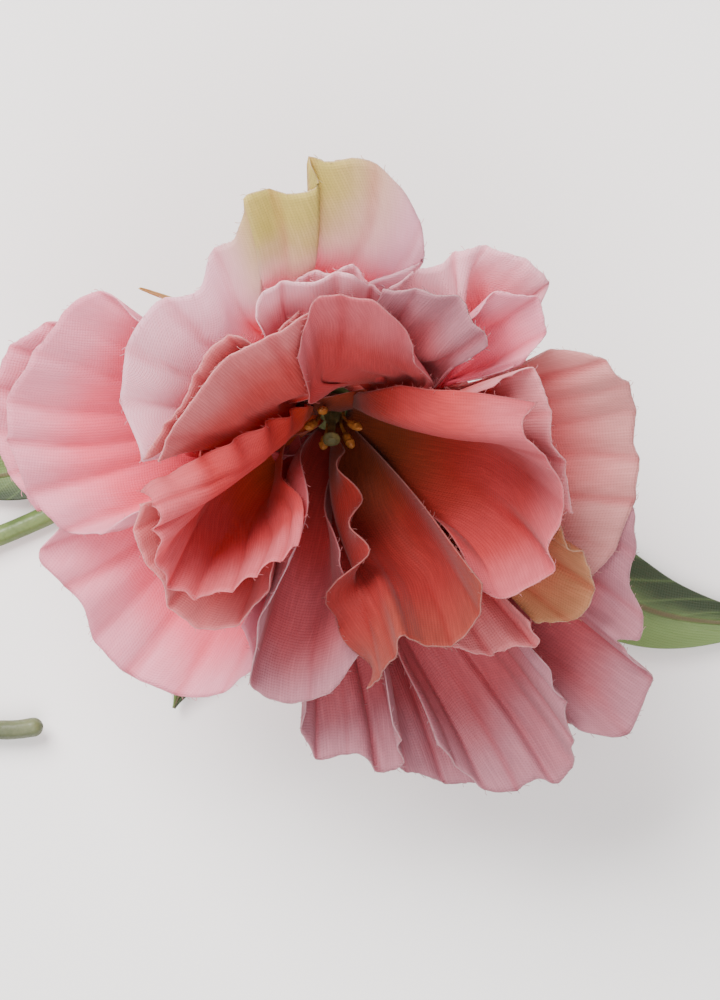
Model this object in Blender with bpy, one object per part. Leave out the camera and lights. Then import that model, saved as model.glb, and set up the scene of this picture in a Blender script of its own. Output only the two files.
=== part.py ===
"""One lisianthus bloom on a cut stem, lying on a surface with its face up.

Every piece is a separate named object: twenty-six petals, the pistil, five stamens, the receptacle,
the calyx cup and its five sepals, the stem, a side shoot and three leaves.
Lengths in the tables are millimetres and angles are degrees; MM turns them into metres.

The flower is described in its own frame: the petals grow from z = 0 and the axis is +Z. A petal is a
fan of curves from a short arc low on the axis to a rim. The rim is given by points read as (azimuth,
distance from the axis, height). The whole head is then nodded over and set down on its stem.
"""

import math

import bpy
import numpy as np
from mathutils import Vector
from mathutils.kdtree import KDTree

MM = 0.001

# The head nods this far towards -Y, and its base stands this high over the surface.
NOD = 24.0
BASE_HEIGHT = 26.0
# The middle of the finished object's footprint, seen from the base of the flower.
FOOTPRINT_X = -13.6
FOOTPRINT_Y = -12.6

PETAL_THICKNESS = 0.36
PETAL_CELLS = 8
PETAL_GAP = 1.0
FARTHEST_MOVE = 8.0
LEAF_THICKNESS = 0.6
STEM_RADIUS = 1.5
PEDICEL_RADIUS = 1.25
SHOOT_RADIUS = 1.4

# Height and distance from the axis of the four rings the petals grow from.
RING_A = (2.3, 1.4)
RING_B = (3.8, 0.8)
RING_C = (5.3, 0.2)
RING_D = (6.8, -0.6)

# Innermost first: each petal is laid outside all the ones above it in the list.
# rise: how far the petal opens at its foot, lean: how far at its rim, both from the axis, for one
# margin, the middle and the other margin. wrap: how far the two margins reach around the axis.
# foot and head: how long a curve holds its first and its last direction, as a share of its reach.
EVEN = (.45, .45, .45)
EASY = (.4, .4, .4)
PETALS = [
    dict(name="petal_inner_lower_right", azimuth=297, ring=RING_A, claw=22, wrap=(60, 40),
         rise=(8, 40, 34), lean=(36, 14, 30), foot=(.5, .6, .6), head=(.35, .5, .4),
         rim=[(285, 26, 37), (294, 22, 40), (299, 20, 40), (305, 24, 39), (313, 26, 38),
              (324, 25, 38), (333, 23, 38)]),
    dict(name="petal_inner_right", azimuth=350, ring=RING_A, claw=22, wrap=(40, 62),
         rise=(34, 44, 24), lean=(30, 14, 56), foot=(.6, .6, .42), head=(.4, .5, .35),
         rim=[(333, 21, 36), (332, 24, 37), (334, 28, 37), (344, 31, 38), (350, 30, 38),
              (358, 31, 38), (10, 31, 39), (18, 30, 40), (25, 29, 41)]),
    dict(name="petal_inner_low", azimuth=256, ring=RING_B, claw=12, wrap=(30, 30),
         rise=(22, 44, 22), lean=(60, 50, 60), foot=(.5, .5, .5), head=EASY,
         rim=[(235, 10, 35), (243, 21, 33), (249, 31, 30), (256, 34, 29), (264, 33, 29),
              (271, 30, 31), (277, 21, 34)]),
    dict(name="petal_inner_left", azimuth=216, ring=RING_A, claw=22, wrap=(76, 36),
         rise=(22, 46, 30), lean=(56, 14, 40), foot=(.42, .6, .6), head=(.35, .5, .4),
         rim=[(179, 23, 40), (191, 24, 40), (204, 24, 39), (215, 22, 38),
              (219, 17, 38), (223, 11, 38), (232, 7, 37)]),
    dict(name="petal_inner_top", azimuth=80, ring=RING_A, claw=22, wrap=(45, 45),
         rise=(14, 12, 14), lean=(60, 50, 60), foot=EVEN, head=EASY,
         rim=[(60, 23, 33), (65, 26, 35), (78, 31, 38), (85, 31, 38), (93, 31, 38), (97, 26, 36),
              (102, 21, 33)]),
    dict(name="petal_inner_upper_left", azimuth=142, ring=RING_A, claw=22, wrap=(55, 55),
         rise=(10, 20, 46), lean=(60, 50, 30), foot=EVEN, head=EASY,
         rim=[(92, 28, 34), (99, 27, 36), (110, 26, 37), (121, 26, 37), (130, 25, 37),
              (146, 24, 36), (165, 24, 35)]),
    dict(name="petal_middle_upper_left", azimuth=146, ring=RING_B, claw=12, wrap=(45, 45),
         rise=(14, 26, 24), lean=(70, 64, 80), foot=EVEN, head=EASY,
         rim=[(99, 27, 31), (111, 24, 34), (117, 27, 35), (125, 28, 35), (133, 26, 35),
              (147, 24, 34), (169, 25, 33)]),
    dict(name="petal_middle_left", azimuth=222, ring=RING_B, claw=12, wrap=(40, 24),
         rise=(30, 46, 44), lean=(60, 34, 50), foot=EVEN, head=EASY,
         rim=[(181, 26, 34), (193, 27, 35), (206, 26, 35), (221, 27, 34), (233, 25, 33),
              (240, 19, 33), (241, 14, 32)]),
    dict(name="petal_middle_low_right", azimuth=306, ring=RING_B, claw=12, wrap=(30, 28),
         rise=(24, 40, 24), lean=(60, 50, 60), foot=EVEN, head=EASY,
         rim=[(306, 27, 31), (308, 31, 31), (312, 33, 31), (318, 35, 31), (321, 37, 30),
              (324, 34, 30)]),
    dict(name="petal_middle_lower_right", azimuth=334, ring=RING_B, claw=12, wrap=(32, 40),
         rise=(24, 40, 24), lean=(60, 60, 60), foot=EVEN, head=EASY,
         rim=[(322, 35, 29), (327, 38, 29), (332, 40, 30), (338, 39, 30), (345, 36, 31),
              (347, 33, 32), (353, 29, 32)]),
    dict(name="petal_middle_right", azimuth=4, ring=RING_B, claw=12, wrap=(42, 42),
         rise=(20, 34, 20), lean=(60, 50, 60), foot=EVEN, head=EASY,
         rim=[(355, 32, 32), (11, 31, 34), (23, 32, 34), (30, 33, 34), (35, 33, 34), (38, 31, 34),
              (36, 27, 32)]),
    dict(name="petal_middle_top", azimuth=64, ring=RING_B, claw=12, wrap=(40, 40),
         rise=(14, 20, 14), lean=(60, 60, 60), foot=EVEN, head=EASY,
         rim=[(46, 27, 31), (47, 31, 33), (53, 32, 34), (60, 34, 34), (67, 33, 34), (73, 32, 34),
              (77, 31, 33)]),
    dict(name="petal_middle_top_right", azimuth=34, ring=RING_B, claw=12, wrap=(38, 38),
         rise=(20, 26, 16), lean=(70, 60, 60), foot=EVEN, head=EASY,
         rim=[(35, 29, 29), (36, 33, 30), (38, 36, 30), (41, 38, 30), (45, 39, 30), (50, 38, 31),
              (53, 36, 31), (53, 32, 31)]),
    dict(name="petal_middle_top_left", azimuth=104, ring=RING_B, claw=12, wrap=(42, 42),
         rise=(14, 22, 14), lean=(60, 62, 60), foot=EVEN, head=EASY,
         rim=[(75, 28, 31), (81, 30, 33), (85, 33, 34), (93, 32, 34), (101, 32, 34), (107, 31, 33),
              (110, 28, 33), (112, 24, 32)]),
    dict(name="petal_middle_top_back", azimuth=86, ring=RING_C, claw=10, wrap=(30, 30),
         rise=(20, 26, 20), lean=(66, 66, 66), foot=EVEN, head=EASY,
         rim=[(75, 28, 28), (81, 31, 30), (85, 33, 31), (89, 32, 31), (93, 32, 31), (98, 31, 31),
              (104, 28, 30)]),
    dict(name="petal_outer_low", azimuth=262, ring=RING_C, claw=10, wrap=(20, 30),
         rise=(56, 60, 56), lean=(60, 60, 60), foot=EVEN, head=EASY,
         rim=[(263, 33, 27), (265, 41, 25), (269, 45, 24), (274, 44, 24), (279, 48, 23),
              (282, 47, 24), (284, 38, 28)]),
    dict(name="petal_outer_low_right", azimuth=294, ring=RING_C, claw=11, wrap=(36, 36),
         rise=(50, 56, 50), lean=(66, 66, 66), foot=EVEN, head=EASY,
         rim=[(290, 44, 26), (293, 53, 24), (296, 56, 24), (302, 56, 25), (304, 58, 25),
              (308, 56, 26), (312, 50, 28), (318, 41, 29)]),
    dict(name="petal_outer_right", azimuth=2, ring=RING_C, claw=11, wrap=(42, 42),
         rise=(50, 56, 50), lean=(80, 84, 80), foot=EVEN, head=EASY,
         rim=[(334, 39.5, 23), (340, 41, 23), (349, 42, 23), (358, 42.5, 23), (6, 42, 23), (13, 42.7, 24),
              (19, 42.5, 25), (26, 40.5, 26), (30, 37.5, 26), (32, 34.5, 26), (35, 30.5, 27)]),
    dict(name="petal_outer_lower_right", azimuth=326, ring=RING_C, claw=11, wrap=(38, 38),
         rise=(54, 60, 54), lean=(66, 66, 66), foot=EVEN, head=EASY,
         rim=[(312, 47, 26), (311, 52, 25), (313, 55.5, 25), (316, 58, 25), (320, 57, 25), (324, 55.5, 25),
              (326, 54, 25), (327, 49.5, 26), (328, 47, 26), (330, 50, 26), (334, 48, 26.5),
              (338, 44.5, 27), (346, 43.5, 26), (352, 42, 25), (353, 39, 24)]),
    dict(name="petal_outer_top_right", azimuth=50, ring=RING_C, claw=11, wrap=(38, 38),
         rise=(42, 48, 42), lean=(76, 76, 76), foot=EVEN, head=EASY,
         rim=[(38, 33, 24), (41, 38, 24), (45, 41, 25), (51, 41, 26), (60, 39, 26), (65, 35, 26),
              (70, 32, 26), (75, 28, 26)]),
    dict(name="petal_outer_top", azimuth=122, ring=RING_C, claw=15, wrap=(60, 60),
         rise=(38, 44, 42), lean=(76, 82, 80), foot=EVEN, head=EASY,
         rim=[(80, 29, 27), (73, 31.5, 26), (69, 34.5, 26), (71, 38, 27), (76, 43, 29), (81, 46.5, 31),
              (86, 48, 32), (91, 47.8, 32.5), (93, 48.5, 33), (92, 44.7, 33), (97, 44, 34),
              (101, 45.5, 35), (104, 45.7, 36), (105, 43, 35), (109, 39, 32), (115, 37.5, 30),
              (122, 33.5, 29), (134, 35, 28), (145, 33.5, 28), (156, 31, 28), (171, 26, 30)]),
    dict(name="petal_outer_left", azimuth=174, ring=RING_C, claw=11, wrap=(42, 42),
         rise=(50, 56, 50), lean=(80, 84, 80), foot=EVEN, head=EASY,
         rim=[(139, 33, 26), (138, 38, 24), (143, 42, 23), (151, 43, 22), (165, 45, 21),
              (174, 45, 21), (187, 42, 21), (194, 39, 22), (197, 34, 23), (190, 27, 26)]),
    dict(name="petal_outer_lower_left", azimuth=226, ring=RING_C, claw=11, wrap=(42, 42),
         rise=(50, 56, 50), lean=(80, 84, 80), foot=EVEN, head=EASY,
         rim=[(194, 39, 20), (201, 44, 19), (211, 42, 19), (223, 45, 18), (234, 44, 19),
              (243, 41, 21), (248, 36, 23), (249, 31, 25), (239, 25, 27)]),
    dict(name="petal_back_left", azimuth=176, ring=RING_D, claw=12, wrap=(30, 30),
         rise=(62, 68, 62), lean=(88, 90, 88), foot=EVEN, head=EASY,
         rim=[(148, 39, 18), (154, 44, 18), (161, 47, 17), (170, 48, 16), (178, 47, 16),
              (185, 45, 17), (192, 42, 18)]),
    dict(name="petal_back_low", azimuth=280, ring=RING_D, claw=12, wrap=(30, 30),
         rise=(62, 66, 62), lean=(70, 70, 70), foot=EVEN, head=EASY,
         rim=[(279, 43, 22), (281, 49, 20), (286, 52, 20), (289, 54, 20), (293, 54, 21),
              (299, 50, 22)]),
    dict(name="petal_back_lower_right", azimuth=314, ring=RING_D, claw=12, wrap=(28, 28),
         rise=(66, 70, 66), lean=(70, 70, 70), foot=EVEN, head=EASY,
         rim=[(309, 48, 20), (309, 53, 19), (311, 55, 19), (315, 54, 20), (320, 50, 21)]),
]

# Profiles turned about the flower's axis, top first: (distance from the axis, height).
OVARY_AND_STYLE = [(0, 13.1), (0.9, 13.3), (1.25, 12.8), (1.1, 12.3), (0.45, 11.5), (0.4, 9.0),
                   (0.5, 6.6), (1.0, 5.0), (1.15, 3.0), (0.9, 1.5), (0, 1.3)]
RECEPTACLE = [(0, 0.9), (1.6, 0.9), (3.0, 0.8), (4.6, 0.1), (6.2, -0.7), (7.6, -1.7), (7.2, -3.0),
              (5.4, -4.6), (3.0, -5.6), (0, -5.8)]
CALYX_CUP = [(0, -6.1), (3.1, -5.9), (5.6, -4.9), (7.5, -3.3), (7.9, -3.4), (6.6, -5.6), (4.2, -7.6),
             (2.0, -9.2), (0, -9.5)]

# Each stamen: the way it leans, and where its anther ends up (distance from the axis, height).
STAMENS = [(114, 3.8, 10.5), (12, 4.2, 11.0), (176, 3.6, 9.5), (248, 3.4, 9.0), (318, 4.0, 9.5)]

# Each sepal: azimuth of its foot, azimuth, distance and height of its tip.
SEPALS = [(136, 139, 35, 13.5), (66, 75, 30, 15.5), (206, 206, 25, 4), (276, 276, 26, 3),
          (346, 346, 26, 4)]

# Courses on the surface, measured from the base of the flower: (x, y, height).
STEM_COURSE = [(0, 4.0, 17.0), (-0.6, 6.2, 11.6), (-4.0, 6.8, 6.4), (-11.0, 2.6, 2.9), (-22.0, -5.0, 1.6),
               (-49.0, -18.6, 1.5), (-75.0, -26.5, 1.5), (-96.0, -31.0, 1.5)]
SHOOT_COURSE = [(-77.0, -30.4, 1.6), (-73.5, -36.0, 2.0), (-67.0, -43.0, 2.4), (-58.0, -47.4, 2.6),
                (-49.0, -48.2, 2.7), (-43.6, -47.6, 2.7)]

# Each leaf: the course of its midrib, its greatest width and how far the blade folds up.
LEAVES = {
    "leaf_right": dict(width=17, fold=16,
                       course=[(-3, 1, 0.5), (14, -9, 0.5), (46, -29.6, 0.5), (69, -33, 2)]),
    "leaf_left": dict(width=10, fold=18,
                      course=[(-27, -2.6, 0.5), (-38, -6.2, 0.5), (-49, -9.8, 1), (-62, -11, 2)]),
    "leaf_lower_left": dict(width=18, fold=14,
                            course=[(-10.6, -1.2, 0.5), (-13, -15, 0.5), (-18, -31, 0.5), (-24, -45, 1.5)]),
}


def clear_scene():
    for thing in list(bpy.data.objects):
        bpy.data.objects.remove(thing, do_unlink=True)


def make_material(name, colour, roughness, sheen=0.0):
    material = bpy.data.materials.new(name)
    material.use_nodes = True
    shader = material.node_tree.nodes["Principled BSDF"]
    shader.inputs["Base Color"].default_value = (*colour, 1.0)
    shader.inputs["Roughness"].default_value = roughness
    shader.inputs["Sheen Weight"].default_value = sheen
    return material


def make_object(name, points, faces, material):
    mesh = bpy.data.meshes.new(name)
    mesh.from_pydata([Vector(p) * MM for p in points], [], faces)
    mesh.materials.append(material)
    mesh.update()
    thing = bpy.data.objects.new(name, mesh)
    bpy.context.scene.collection.objects.link(thing)
    return thing


def set_down(points):
    """From the flower's own frame to the object's: nod the head over and lift it onto its stem."""
    points = np.asarray(points, float)
    c = math.cos(math.radians(NOD))
    s = math.sin(math.radians(NOD))
    x = points[..., 0]
    y = points[..., 1] * c - points[..., 2] * s
    z = points[..., 1] * s + points[..., 2] * c + BASE_HEIGHT
    return np.stack([x - FOOTPRINT_X, y - FOOTPRINT_Y, z], -1)


def on_surface(points):
    """From positions seen from the base of the flower to the object's own frame."""
    return np.asarray(points, float) - np.array([FOOTPRINT_X, FOOTPRINT_Y, 0.0])


def polar(azimuth, distance, height):
    a = math.radians(azimuth)
    return np.array([distance * math.cos(a), distance * math.sin(a), height])


def curve_through(knots, at):
    """Smooth curve through the knots, read at positions from -1 to 1 along its length."""
    k = np.asarray(knots, float)
    steps = np.linalg.norm(np.diff(k, axis=0), axis=1) ** 0.8
    t = np.concatenate([[0.0], np.cumsum(steps)])
    t = 2 * t / t[-1] - 1
    m = np.empty_like(k)
    m[1:-1] = (k[2:] - k[:-2]) / (t[2:] - t[:-2])[:, None]
    m[0] = (k[1] - k[0]) / (t[1] - t[0])
    m[-1] = (k[-1] - k[-2]) / (t[-1] - t[-2])
    i = np.clip(np.searchsorted(t, at, side="right") - 1, 0, len(t) - 2)
    h = (t[i + 1] - t[i])[:, None]
    s = (at - t[i])[:, None] / h
    ends = (1 + 2 * s) * (1 - s) ** 2 * k[i] + s * s * (3 - 2 * s) * k[i + 1]
    return ends + s * (1 - s) ** 2 * h * m[i] + s * s * (s - 1) * h * m[i + 1]


def across(values, u):
    """Three values, for one margin, the middle and the other margin, spread over the width."""
    left, middle, right = values
    weight = np.abs(u) ** 2.5
    return middle + np.where(u < 0, left - middle, right - middle) * weight


def directions(azimuth, opening):
    flat = np.sin(opening)
    return np.stack([flat * np.cos(azimuth), flat * np.sin(azimuth), np.cos(opening)], -1)


def petal_grid(petal, cells):
    """Grid of points over one petal, foot to rim down the rows and margin to margin along them."""
    u = np.linspace(-1, 1, cells + 1)
    v = np.linspace(0, 1, cells + 1)[:, None, None]
    rim = curve_through([polar(*knot) for knot in petal["rim"]], u)
    radius, height = petal["ring"]
    foot = np.array([polar(petal["azimuth"] + petal["claw"] * x, radius, height) for x in u])
    reach = np.linalg.norm(rim - foot, axis=1)
    low, high = petal["wrap"]
    turned = np.radians(petal["azimuth"] + np.where(u < 0, u * low, u * high))
    outward = np.arctan2(rim[:, 1], rim[:, 0])
    start = directions(turned, np.radians(across(petal["rise"], u)))
    end = directions(outward, np.radians(across(petal["lean"], u)))
    first = foot + start * (reach * across(petal["foot"], u))[:, None]
    second = rim - end * (reach * across(petal["head"], u))[:, None]
    return ((1 - v) ** 3 * foot + 3 * (1 - v) ** 2 * v * first
            + 3 * (1 - v) * v * v * second + v ** 3 * rim)


def grid_normals(grid):
    normal = np.cross(np.gradient(grid, axis=1), np.gradient(grid, axis=0))
    return normal / np.maximum(np.linalg.norm(normal, axis=-1, keepdims=True), 1e-9)


def refiner(cells, times):
    """Matrix that turns a line of grid points into one with times as many cells."""
    t = np.linspace(0, cells, cells * times + 1)
    i = np.minimum(t.astype(int), cells - 1)
    matrix = np.zeros((len(t), cells + 1))
    matrix[np.arange(len(t)), i] = 1 - (t - i)
    matrix[np.arange(len(t)), i + 1] = t - i
    return matrix


def refined(grid, matrix):
    return np.einsum("ab,bcx,dc->adx", matrix, grid, matrix)


def lay_outside(grid, placed, normals, matrix):
    """Move a petal off the ones already laid, until it clears them all on their outer side."""
    tree = KDTree(len(placed))
    for index, point in enumerate(placed):
        tree.insert(point, index)
    tree.balance()
    start = grid
    for _ in range(30):
        dense = refined(grid, matrix)
        push = np.zeros_like(dense)
        for row, col in np.ndindex(dense.shape[:2]):
            if row < 2:
                continue
            _, index, distance = tree.find(dense[row, col])
            if distance > 5.5:
                continue
            gap = dense[row, col] - placed[index]
            side = float(gap @ normals[index])
            sideways = np.linalg.norm(gap - side * normals[index])
            if sideways < 0.9 and -4.5 < side < PETAL_GAP:
                push[row, col] = (PETAL_GAP - side) * normals[index]
        size = np.linalg.norm(push, axis=-1)
        if size.max() < 0.04:
            break
        total = np.einsum("ab,acx,cd->bdx", matrix, push * size[..., None], matrix)
        weight = np.einsum("ab,ac,cd->bd", matrix, size, matrix)[..., None] + 1e-9
        count = np.einsum("ab,ac,cd->bd", matrix, (size > 0) * 1.0, matrix)[..., None]
        move = total / weight * np.minimum(1.0, count / 1.5)
        move[0] = 0
        moved = grid + move - start
        length = np.linalg.norm(moved, axis=-1, keepdims=True)
        grid = start + moved * np.minimum(1.0, FARTHEST_MOVE / np.maximum(length, 1e-9))
    return grid


def lay_petals():
    """All the petals' grids, innermost first, none touching another."""
    coarse = refiner(PETAL_CELLS, 4)
    fine = refiner(PETAL_CELLS, 8)
    placed = np.zeros((0, 3))
    normals = np.zeros((0, 3))
    grids = {}
    for petal in PETALS:
        grid = petal_grid(petal, PETAL_CELLS)
        if len(placed):
            grid = lay_outside(grid, placed, normals, coarse)
        grids[petal["name"]] = grid
        dense = refined(grid, fine)
        placed = np.concatenate([placed, dense.reshape(-1, 3)])
        normals = np.concatenate([normals, grid_normals(dense).reshape(-1, 3)])
    return grids


def sheet_faces(rows, cols):
    """Faces of a closed slab made of an inner layer, an outer layer and an edge all the way round."""
    layer = rows * cols
    faces = []
    for r in range(rows - 1):
        for c in range(cols - 1):
            a = r * cols + c
            b = a + cols
            faces.append((a, b, b + 1, a + 1))
            faces.append((a + layer, a + 1 + layer, b + 1 + layer, b + layer))
    ring = list(range(cols)) + [r * cols + cols - 1 for r in range(1, rows)]
    ring += [(rows - 1) * cols + c for c in range(cols - 2, -1, -1)]
    ring += [r * cols for r in range(rows - 2, 0, -1)]
    for a, b in zip(ring, ring[1:] + ring[:1]):
        faces.append((a, b, b + layer, a + layer))
    return faces


def slab(grid, thickness):
    """Closed slab around a grid of points, as points and faces."""
    offset = grid_normals(grid) * thickness / 2
    points = np.concatenate([(grid - offset).reshape(-1, 3), (grid + offset).reshape(-1, 3)])
    return points, sheet_faces(*grid.shape[:2])


def lathe(profile, sides=20):
    """Closed solid turned from a profile that runs down from the axis back to the axis."""
    inner = profile[1:-1]
    points = [(0, 0, profile[0][1])]
    for radius, height in inner:
        points += [tuple(polar(360 * k / sides, radius, height)) for k in range(sides)]
    points.append((0, 0, profile[-1][1]))
    last = len(points) - 1
    faces = []
    for k in range(sides):
        n = (k + 1) % sides
        faces.append((0, 1 + k, 1 + n))
        for row in range(len(inner) - 1):
            a = 1 + row * sides
            b = a + sides
            faces.append((a + k, b + k, b + n, a + n))
        base = 1 + (len(inner) - 1) * sides
        faces.append((base + n, base + k, last))
    return points, faces


def tube(course, radii, sides=10):
    """Closed round rod along a course, with one radius per point and a flat cap at each end."""
    course = np.asarray(course, float)
    tangent = np.gradient(course, axis=0)
    tangent /= np.linalg.norm(tangent, axis=1, keepdims=True)
    side = np.cross(tangent[0], (0.31, 0.17, 0.93))
    points = []
    for centre, along, radius in zip(course, tangent, radii):
        side = side - along * (side @ along)
        side /= np.linalg.norm(side)
        up = np.cross(along, side)
        for k in range(sides):
            a = 2 * math.pi * k / sides
            points.append(centre + radius * (math.cos(a) * side + math.sin(a) * up))
    faces = [tuple(range(sides))[::-1]]
    for row in range(len(course) - 1):
        for k in range(sides):
            n = (k + 1) % sides
            a = row * sides
            faces.append((a + k, a + n, a + n + sides, a + k + sides))
    top = (len(course) - 1) * sides
    faces.append(tuple(top + k for k in range(sides)))
    return points, faces


def build_petals():
    inner = make_material("petal_coral", (0.62, 0.10, 0.10), 0.7, 0.2)
    outer = make_material("petal_pink", (0.80, 0.33, 0.37), 0.7, 0.2)
    for name, grid in lay_petals().items():
        points, faces = slab(grid, PETAL_THICKNESS)
        make_object(name, set_down(points), faces, inner if "inner" in name else outer)


def build_pistil():
    material = make_material("pistil_green", (0.42, 0.40, 0.12), 0.5)
    points, faces = lathe(OVARY_AND_STYLE, 16)
    make_object("pistil", set_down(points), faces, material)


def build_stamens():
    """Thin filaments that lean outward, each swelling into an anther."""
    material = make_material("stamen_ochre", (0.45, 0.22, 0.05), 0.6)
    radii = [0.22, 0.2, 0.2, 0.2, 0.3, 0.6, 0.62, 0.3]
    for number, (azimuth, distance, height) in enumerate(STAMENS, 1):
        foot = polar(azimuth, 1.62, 1.3)
        middle = polar(azimuth, 1.9, height * 0.55)
        tip = polar(azimuth, distance, height)
        course = curve_through([foot, middle, tip], np.linspace(-1, 1, 8))
        points, faces = tube(course, radii, 8)
        make_object(f"stamen_{number}", set_down(points), faces, material)


def build_receptacle():
    material = make_material("receptacle_green", (0.30, 0.36, 0.12), 0.6)
    points, faces = lathe(RECEPTACLE)
    make_object("receptacle", set_down(points), faces, material)


def build_calyx():
    material = make_material("calyx_green", (0.20, 0.30, 0.07), 0.55)
    points, faces = lathe(CALYX_CUP)
    make_object("calyx", set_down(points), faces, material)


def build_sepals():
    """Narrow awl-shaped blades from the rim of the calyx cup out behind the petals."""
    material = make_material("sepal_green", (0.45, 0.38, 0.09), 0.55)
    for number, (foot_azimuth, azimuth, distance, height) in enumerate(SEPALS, 1):
        foot = polar(foot_azimuth, 8.4, -3.4)
        low = polar((foot_azimuth + azimuth) / 2, 8.4 + 0.3 * (distance - 8.4), -1.6)
        high = polar(azimuth, 8.4 + 0.7 * (distance - 8.4), 0.55 * height - 1.0)
        tip = polar(azimuth, distance, height)
        course = curve_through([foot, low, high, tip], np.linspace(-1, 1, 10))
        radii = np.linspace(1.0, 0.0, 10) ** 0.7 * 0.75 + 0.12
        points, faces = tube(course, radii, 6)
        make_object(f"sepal_{number}", set_down(points), faces, material)


def build_stem():
    """The cut stem on the surface; it thins into the stalk that carries the head."""
    material = make_material("stem_green", (0.20, 0.24, 0.09), 0.55)
    course = curve_through(STEM_COURSE, np.linspace(-1, 1, 34))
    thick = [PEDICEL_RADIUS, PEDICEL_RADIUS, STEM_RADIUS, STEM_RADIUS]
    radii = np.interp(np.linspace(0, 1, 34), [0, 0.12, 0.3, 1], thick)
    course[:, 2] = np.maximum(course[:, 2], radii)
    points, faces = tube(on_surface(course), radii, 12)
    make_object("stem", points, faces, material)


def build_side_shoot():
    """A short bare shoot beside the stem, rounded off at its end."""
    material = make_material("shoot_green", (0.27, 0.27, 0.14), 0.55)
    course = curve_through(SHOOT_COURSE, np.linspace(-1, 1, 18))
    radii = np.full(18, SHOOT_RADIUS)
    radii[-2:] = SHOOT_RADIUS * 0.9, SHOOT_RADIUS * 0.5
    points, faces = tube(on_surface(course), radii, 10)
    make_object("side_shoot", points, faces, material)


def leaf_grid(leaf, rows=14, cols=6):
    """A pointed oval blade that folds up a little on both sides of its midrib."""
    spine = curve_through(leaf["course"], np.linspace(-1, 1, rows + 1))
    along = np.gradient(spine, axis=0)
    side = np.cross((0, 0, 1), along)
    side /= np.linalg.norm(side, axis=1, keepdims=True)
    v = np.linspace(0, 1, rows + 1)
    half = leaf["width"] / 2 * (0.12 + 0.88 * np.sin(math.pi * v ** 0.8) ** 0.8) * (1 - 0.9 * v ** 8)
    u = np.linspace(-1, 1, cols + 1)
    fold = math.radians(leaf["fold"])
    flat = side[:, None, :] * (u[None, :, None] * half[:, None, None] * math.cos(fold))
    lift = np.abs(u)[None, :] ** 1.4 * half[:, None] * math.sin(fold)
    grid = spine[:, None, :] + flat
    grid[..., 2] += lift
    return grid


def build_leaves():
    material = make_material("leaf_green", (0.10, 0.19, 0.05), 0.5)
    for name, leaf in LEAVES.items():
        points, faces = slab(leaf_grid(leaf)[:, ::-1], LEAF_THICKNESS)
        make_object(name, on_surface(points), faces, material)


def main():
    clear_scene()
    build_petals()
    build_pistil()
    build_stamens()
    build_receptacle()
    build_calyx()
    build_sepals()
    build_stem()
    build_side_shoot()
    build_leaves()


main()
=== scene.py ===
# %% [markdown]
# # A lisianthus bloom in woven cloth
# The object is a full double bloom made of stamped cloth petals on a thin wired stem. It lies face up
# on a table with its leaves under it. This lesson builds every visible piece around the plain model
# that already holds the sizes: petals first, because they are what the eye reads, then the small
# parts in the throat, the green parts, the finishes, and last the table, the lamps and the camera.

# %% Load the frame
import math

import bmesh
import bpy
import numpy as np
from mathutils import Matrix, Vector
from mathutils.kdtree import KDTree


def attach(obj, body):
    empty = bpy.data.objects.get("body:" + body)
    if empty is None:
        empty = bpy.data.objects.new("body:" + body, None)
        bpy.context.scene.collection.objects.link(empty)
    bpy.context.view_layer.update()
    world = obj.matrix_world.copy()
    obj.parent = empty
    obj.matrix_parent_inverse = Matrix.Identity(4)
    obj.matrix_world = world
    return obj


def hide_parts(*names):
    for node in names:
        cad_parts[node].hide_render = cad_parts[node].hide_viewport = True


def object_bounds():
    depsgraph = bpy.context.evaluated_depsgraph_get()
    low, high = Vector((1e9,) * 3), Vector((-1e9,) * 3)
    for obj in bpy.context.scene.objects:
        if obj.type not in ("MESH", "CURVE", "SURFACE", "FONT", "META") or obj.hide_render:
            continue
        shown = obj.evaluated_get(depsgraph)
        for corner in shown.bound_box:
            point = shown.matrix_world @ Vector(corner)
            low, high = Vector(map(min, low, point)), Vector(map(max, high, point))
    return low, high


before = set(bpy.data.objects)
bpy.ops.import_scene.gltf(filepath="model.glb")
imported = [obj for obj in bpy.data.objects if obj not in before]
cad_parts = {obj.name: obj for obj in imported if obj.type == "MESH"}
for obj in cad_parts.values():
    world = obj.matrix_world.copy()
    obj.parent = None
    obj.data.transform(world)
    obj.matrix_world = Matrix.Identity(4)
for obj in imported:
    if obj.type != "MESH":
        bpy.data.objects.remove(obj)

cad_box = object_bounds()
cad_low, cad_high = (np.array(corner) for corner in cad_box)
print("plain model, in millimetres:", np.round((cad_high - cad_low) * 1000, 1))

# %% [markdown]
# ## Where the flower's own axis is
# A flower is easiest to describe around its own axis: an azimuth, a distance from the axis and a
# height above the point where the petals meet. The finished head nods over and lies at an angle, so
# one function at the end carries everything from that frame to the table. All the tables below are in
# millimetres and degrees, because petals are small and whole numbers read well.

# %% From the flower's axis to the table
MM = 0.001
NOD = 24.0
BASE = (13.6, 12.6, 26.0)


def polar(azimuth, distance, height):
    a = math.radians(azimuth)
    return np.array([distance * math.cos(a), distance * math.sin(a), height])


def set_down(points):
    """Nod the head towards -Y, put its base in place, and turn millimetres into metres."""
    points = np.asarray(points, float)
    c, s = math.cos(math.radians(NOD)), math.sin(math.radians(NOD))
    y = points[..., 1] * c - points[..., 2] * s
    z = points[..., 1] * s + points[..., 2] * c
    return (np.stack([points[..., 0], y, z], -1) + BASE) * MM


def on_table(points):
    """The same for the stem and leaves, whose places are measured along the table from the base."""
    return (np.asarray(points, float) + (BASE[0], BASE[1], 0)) * MM


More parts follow.
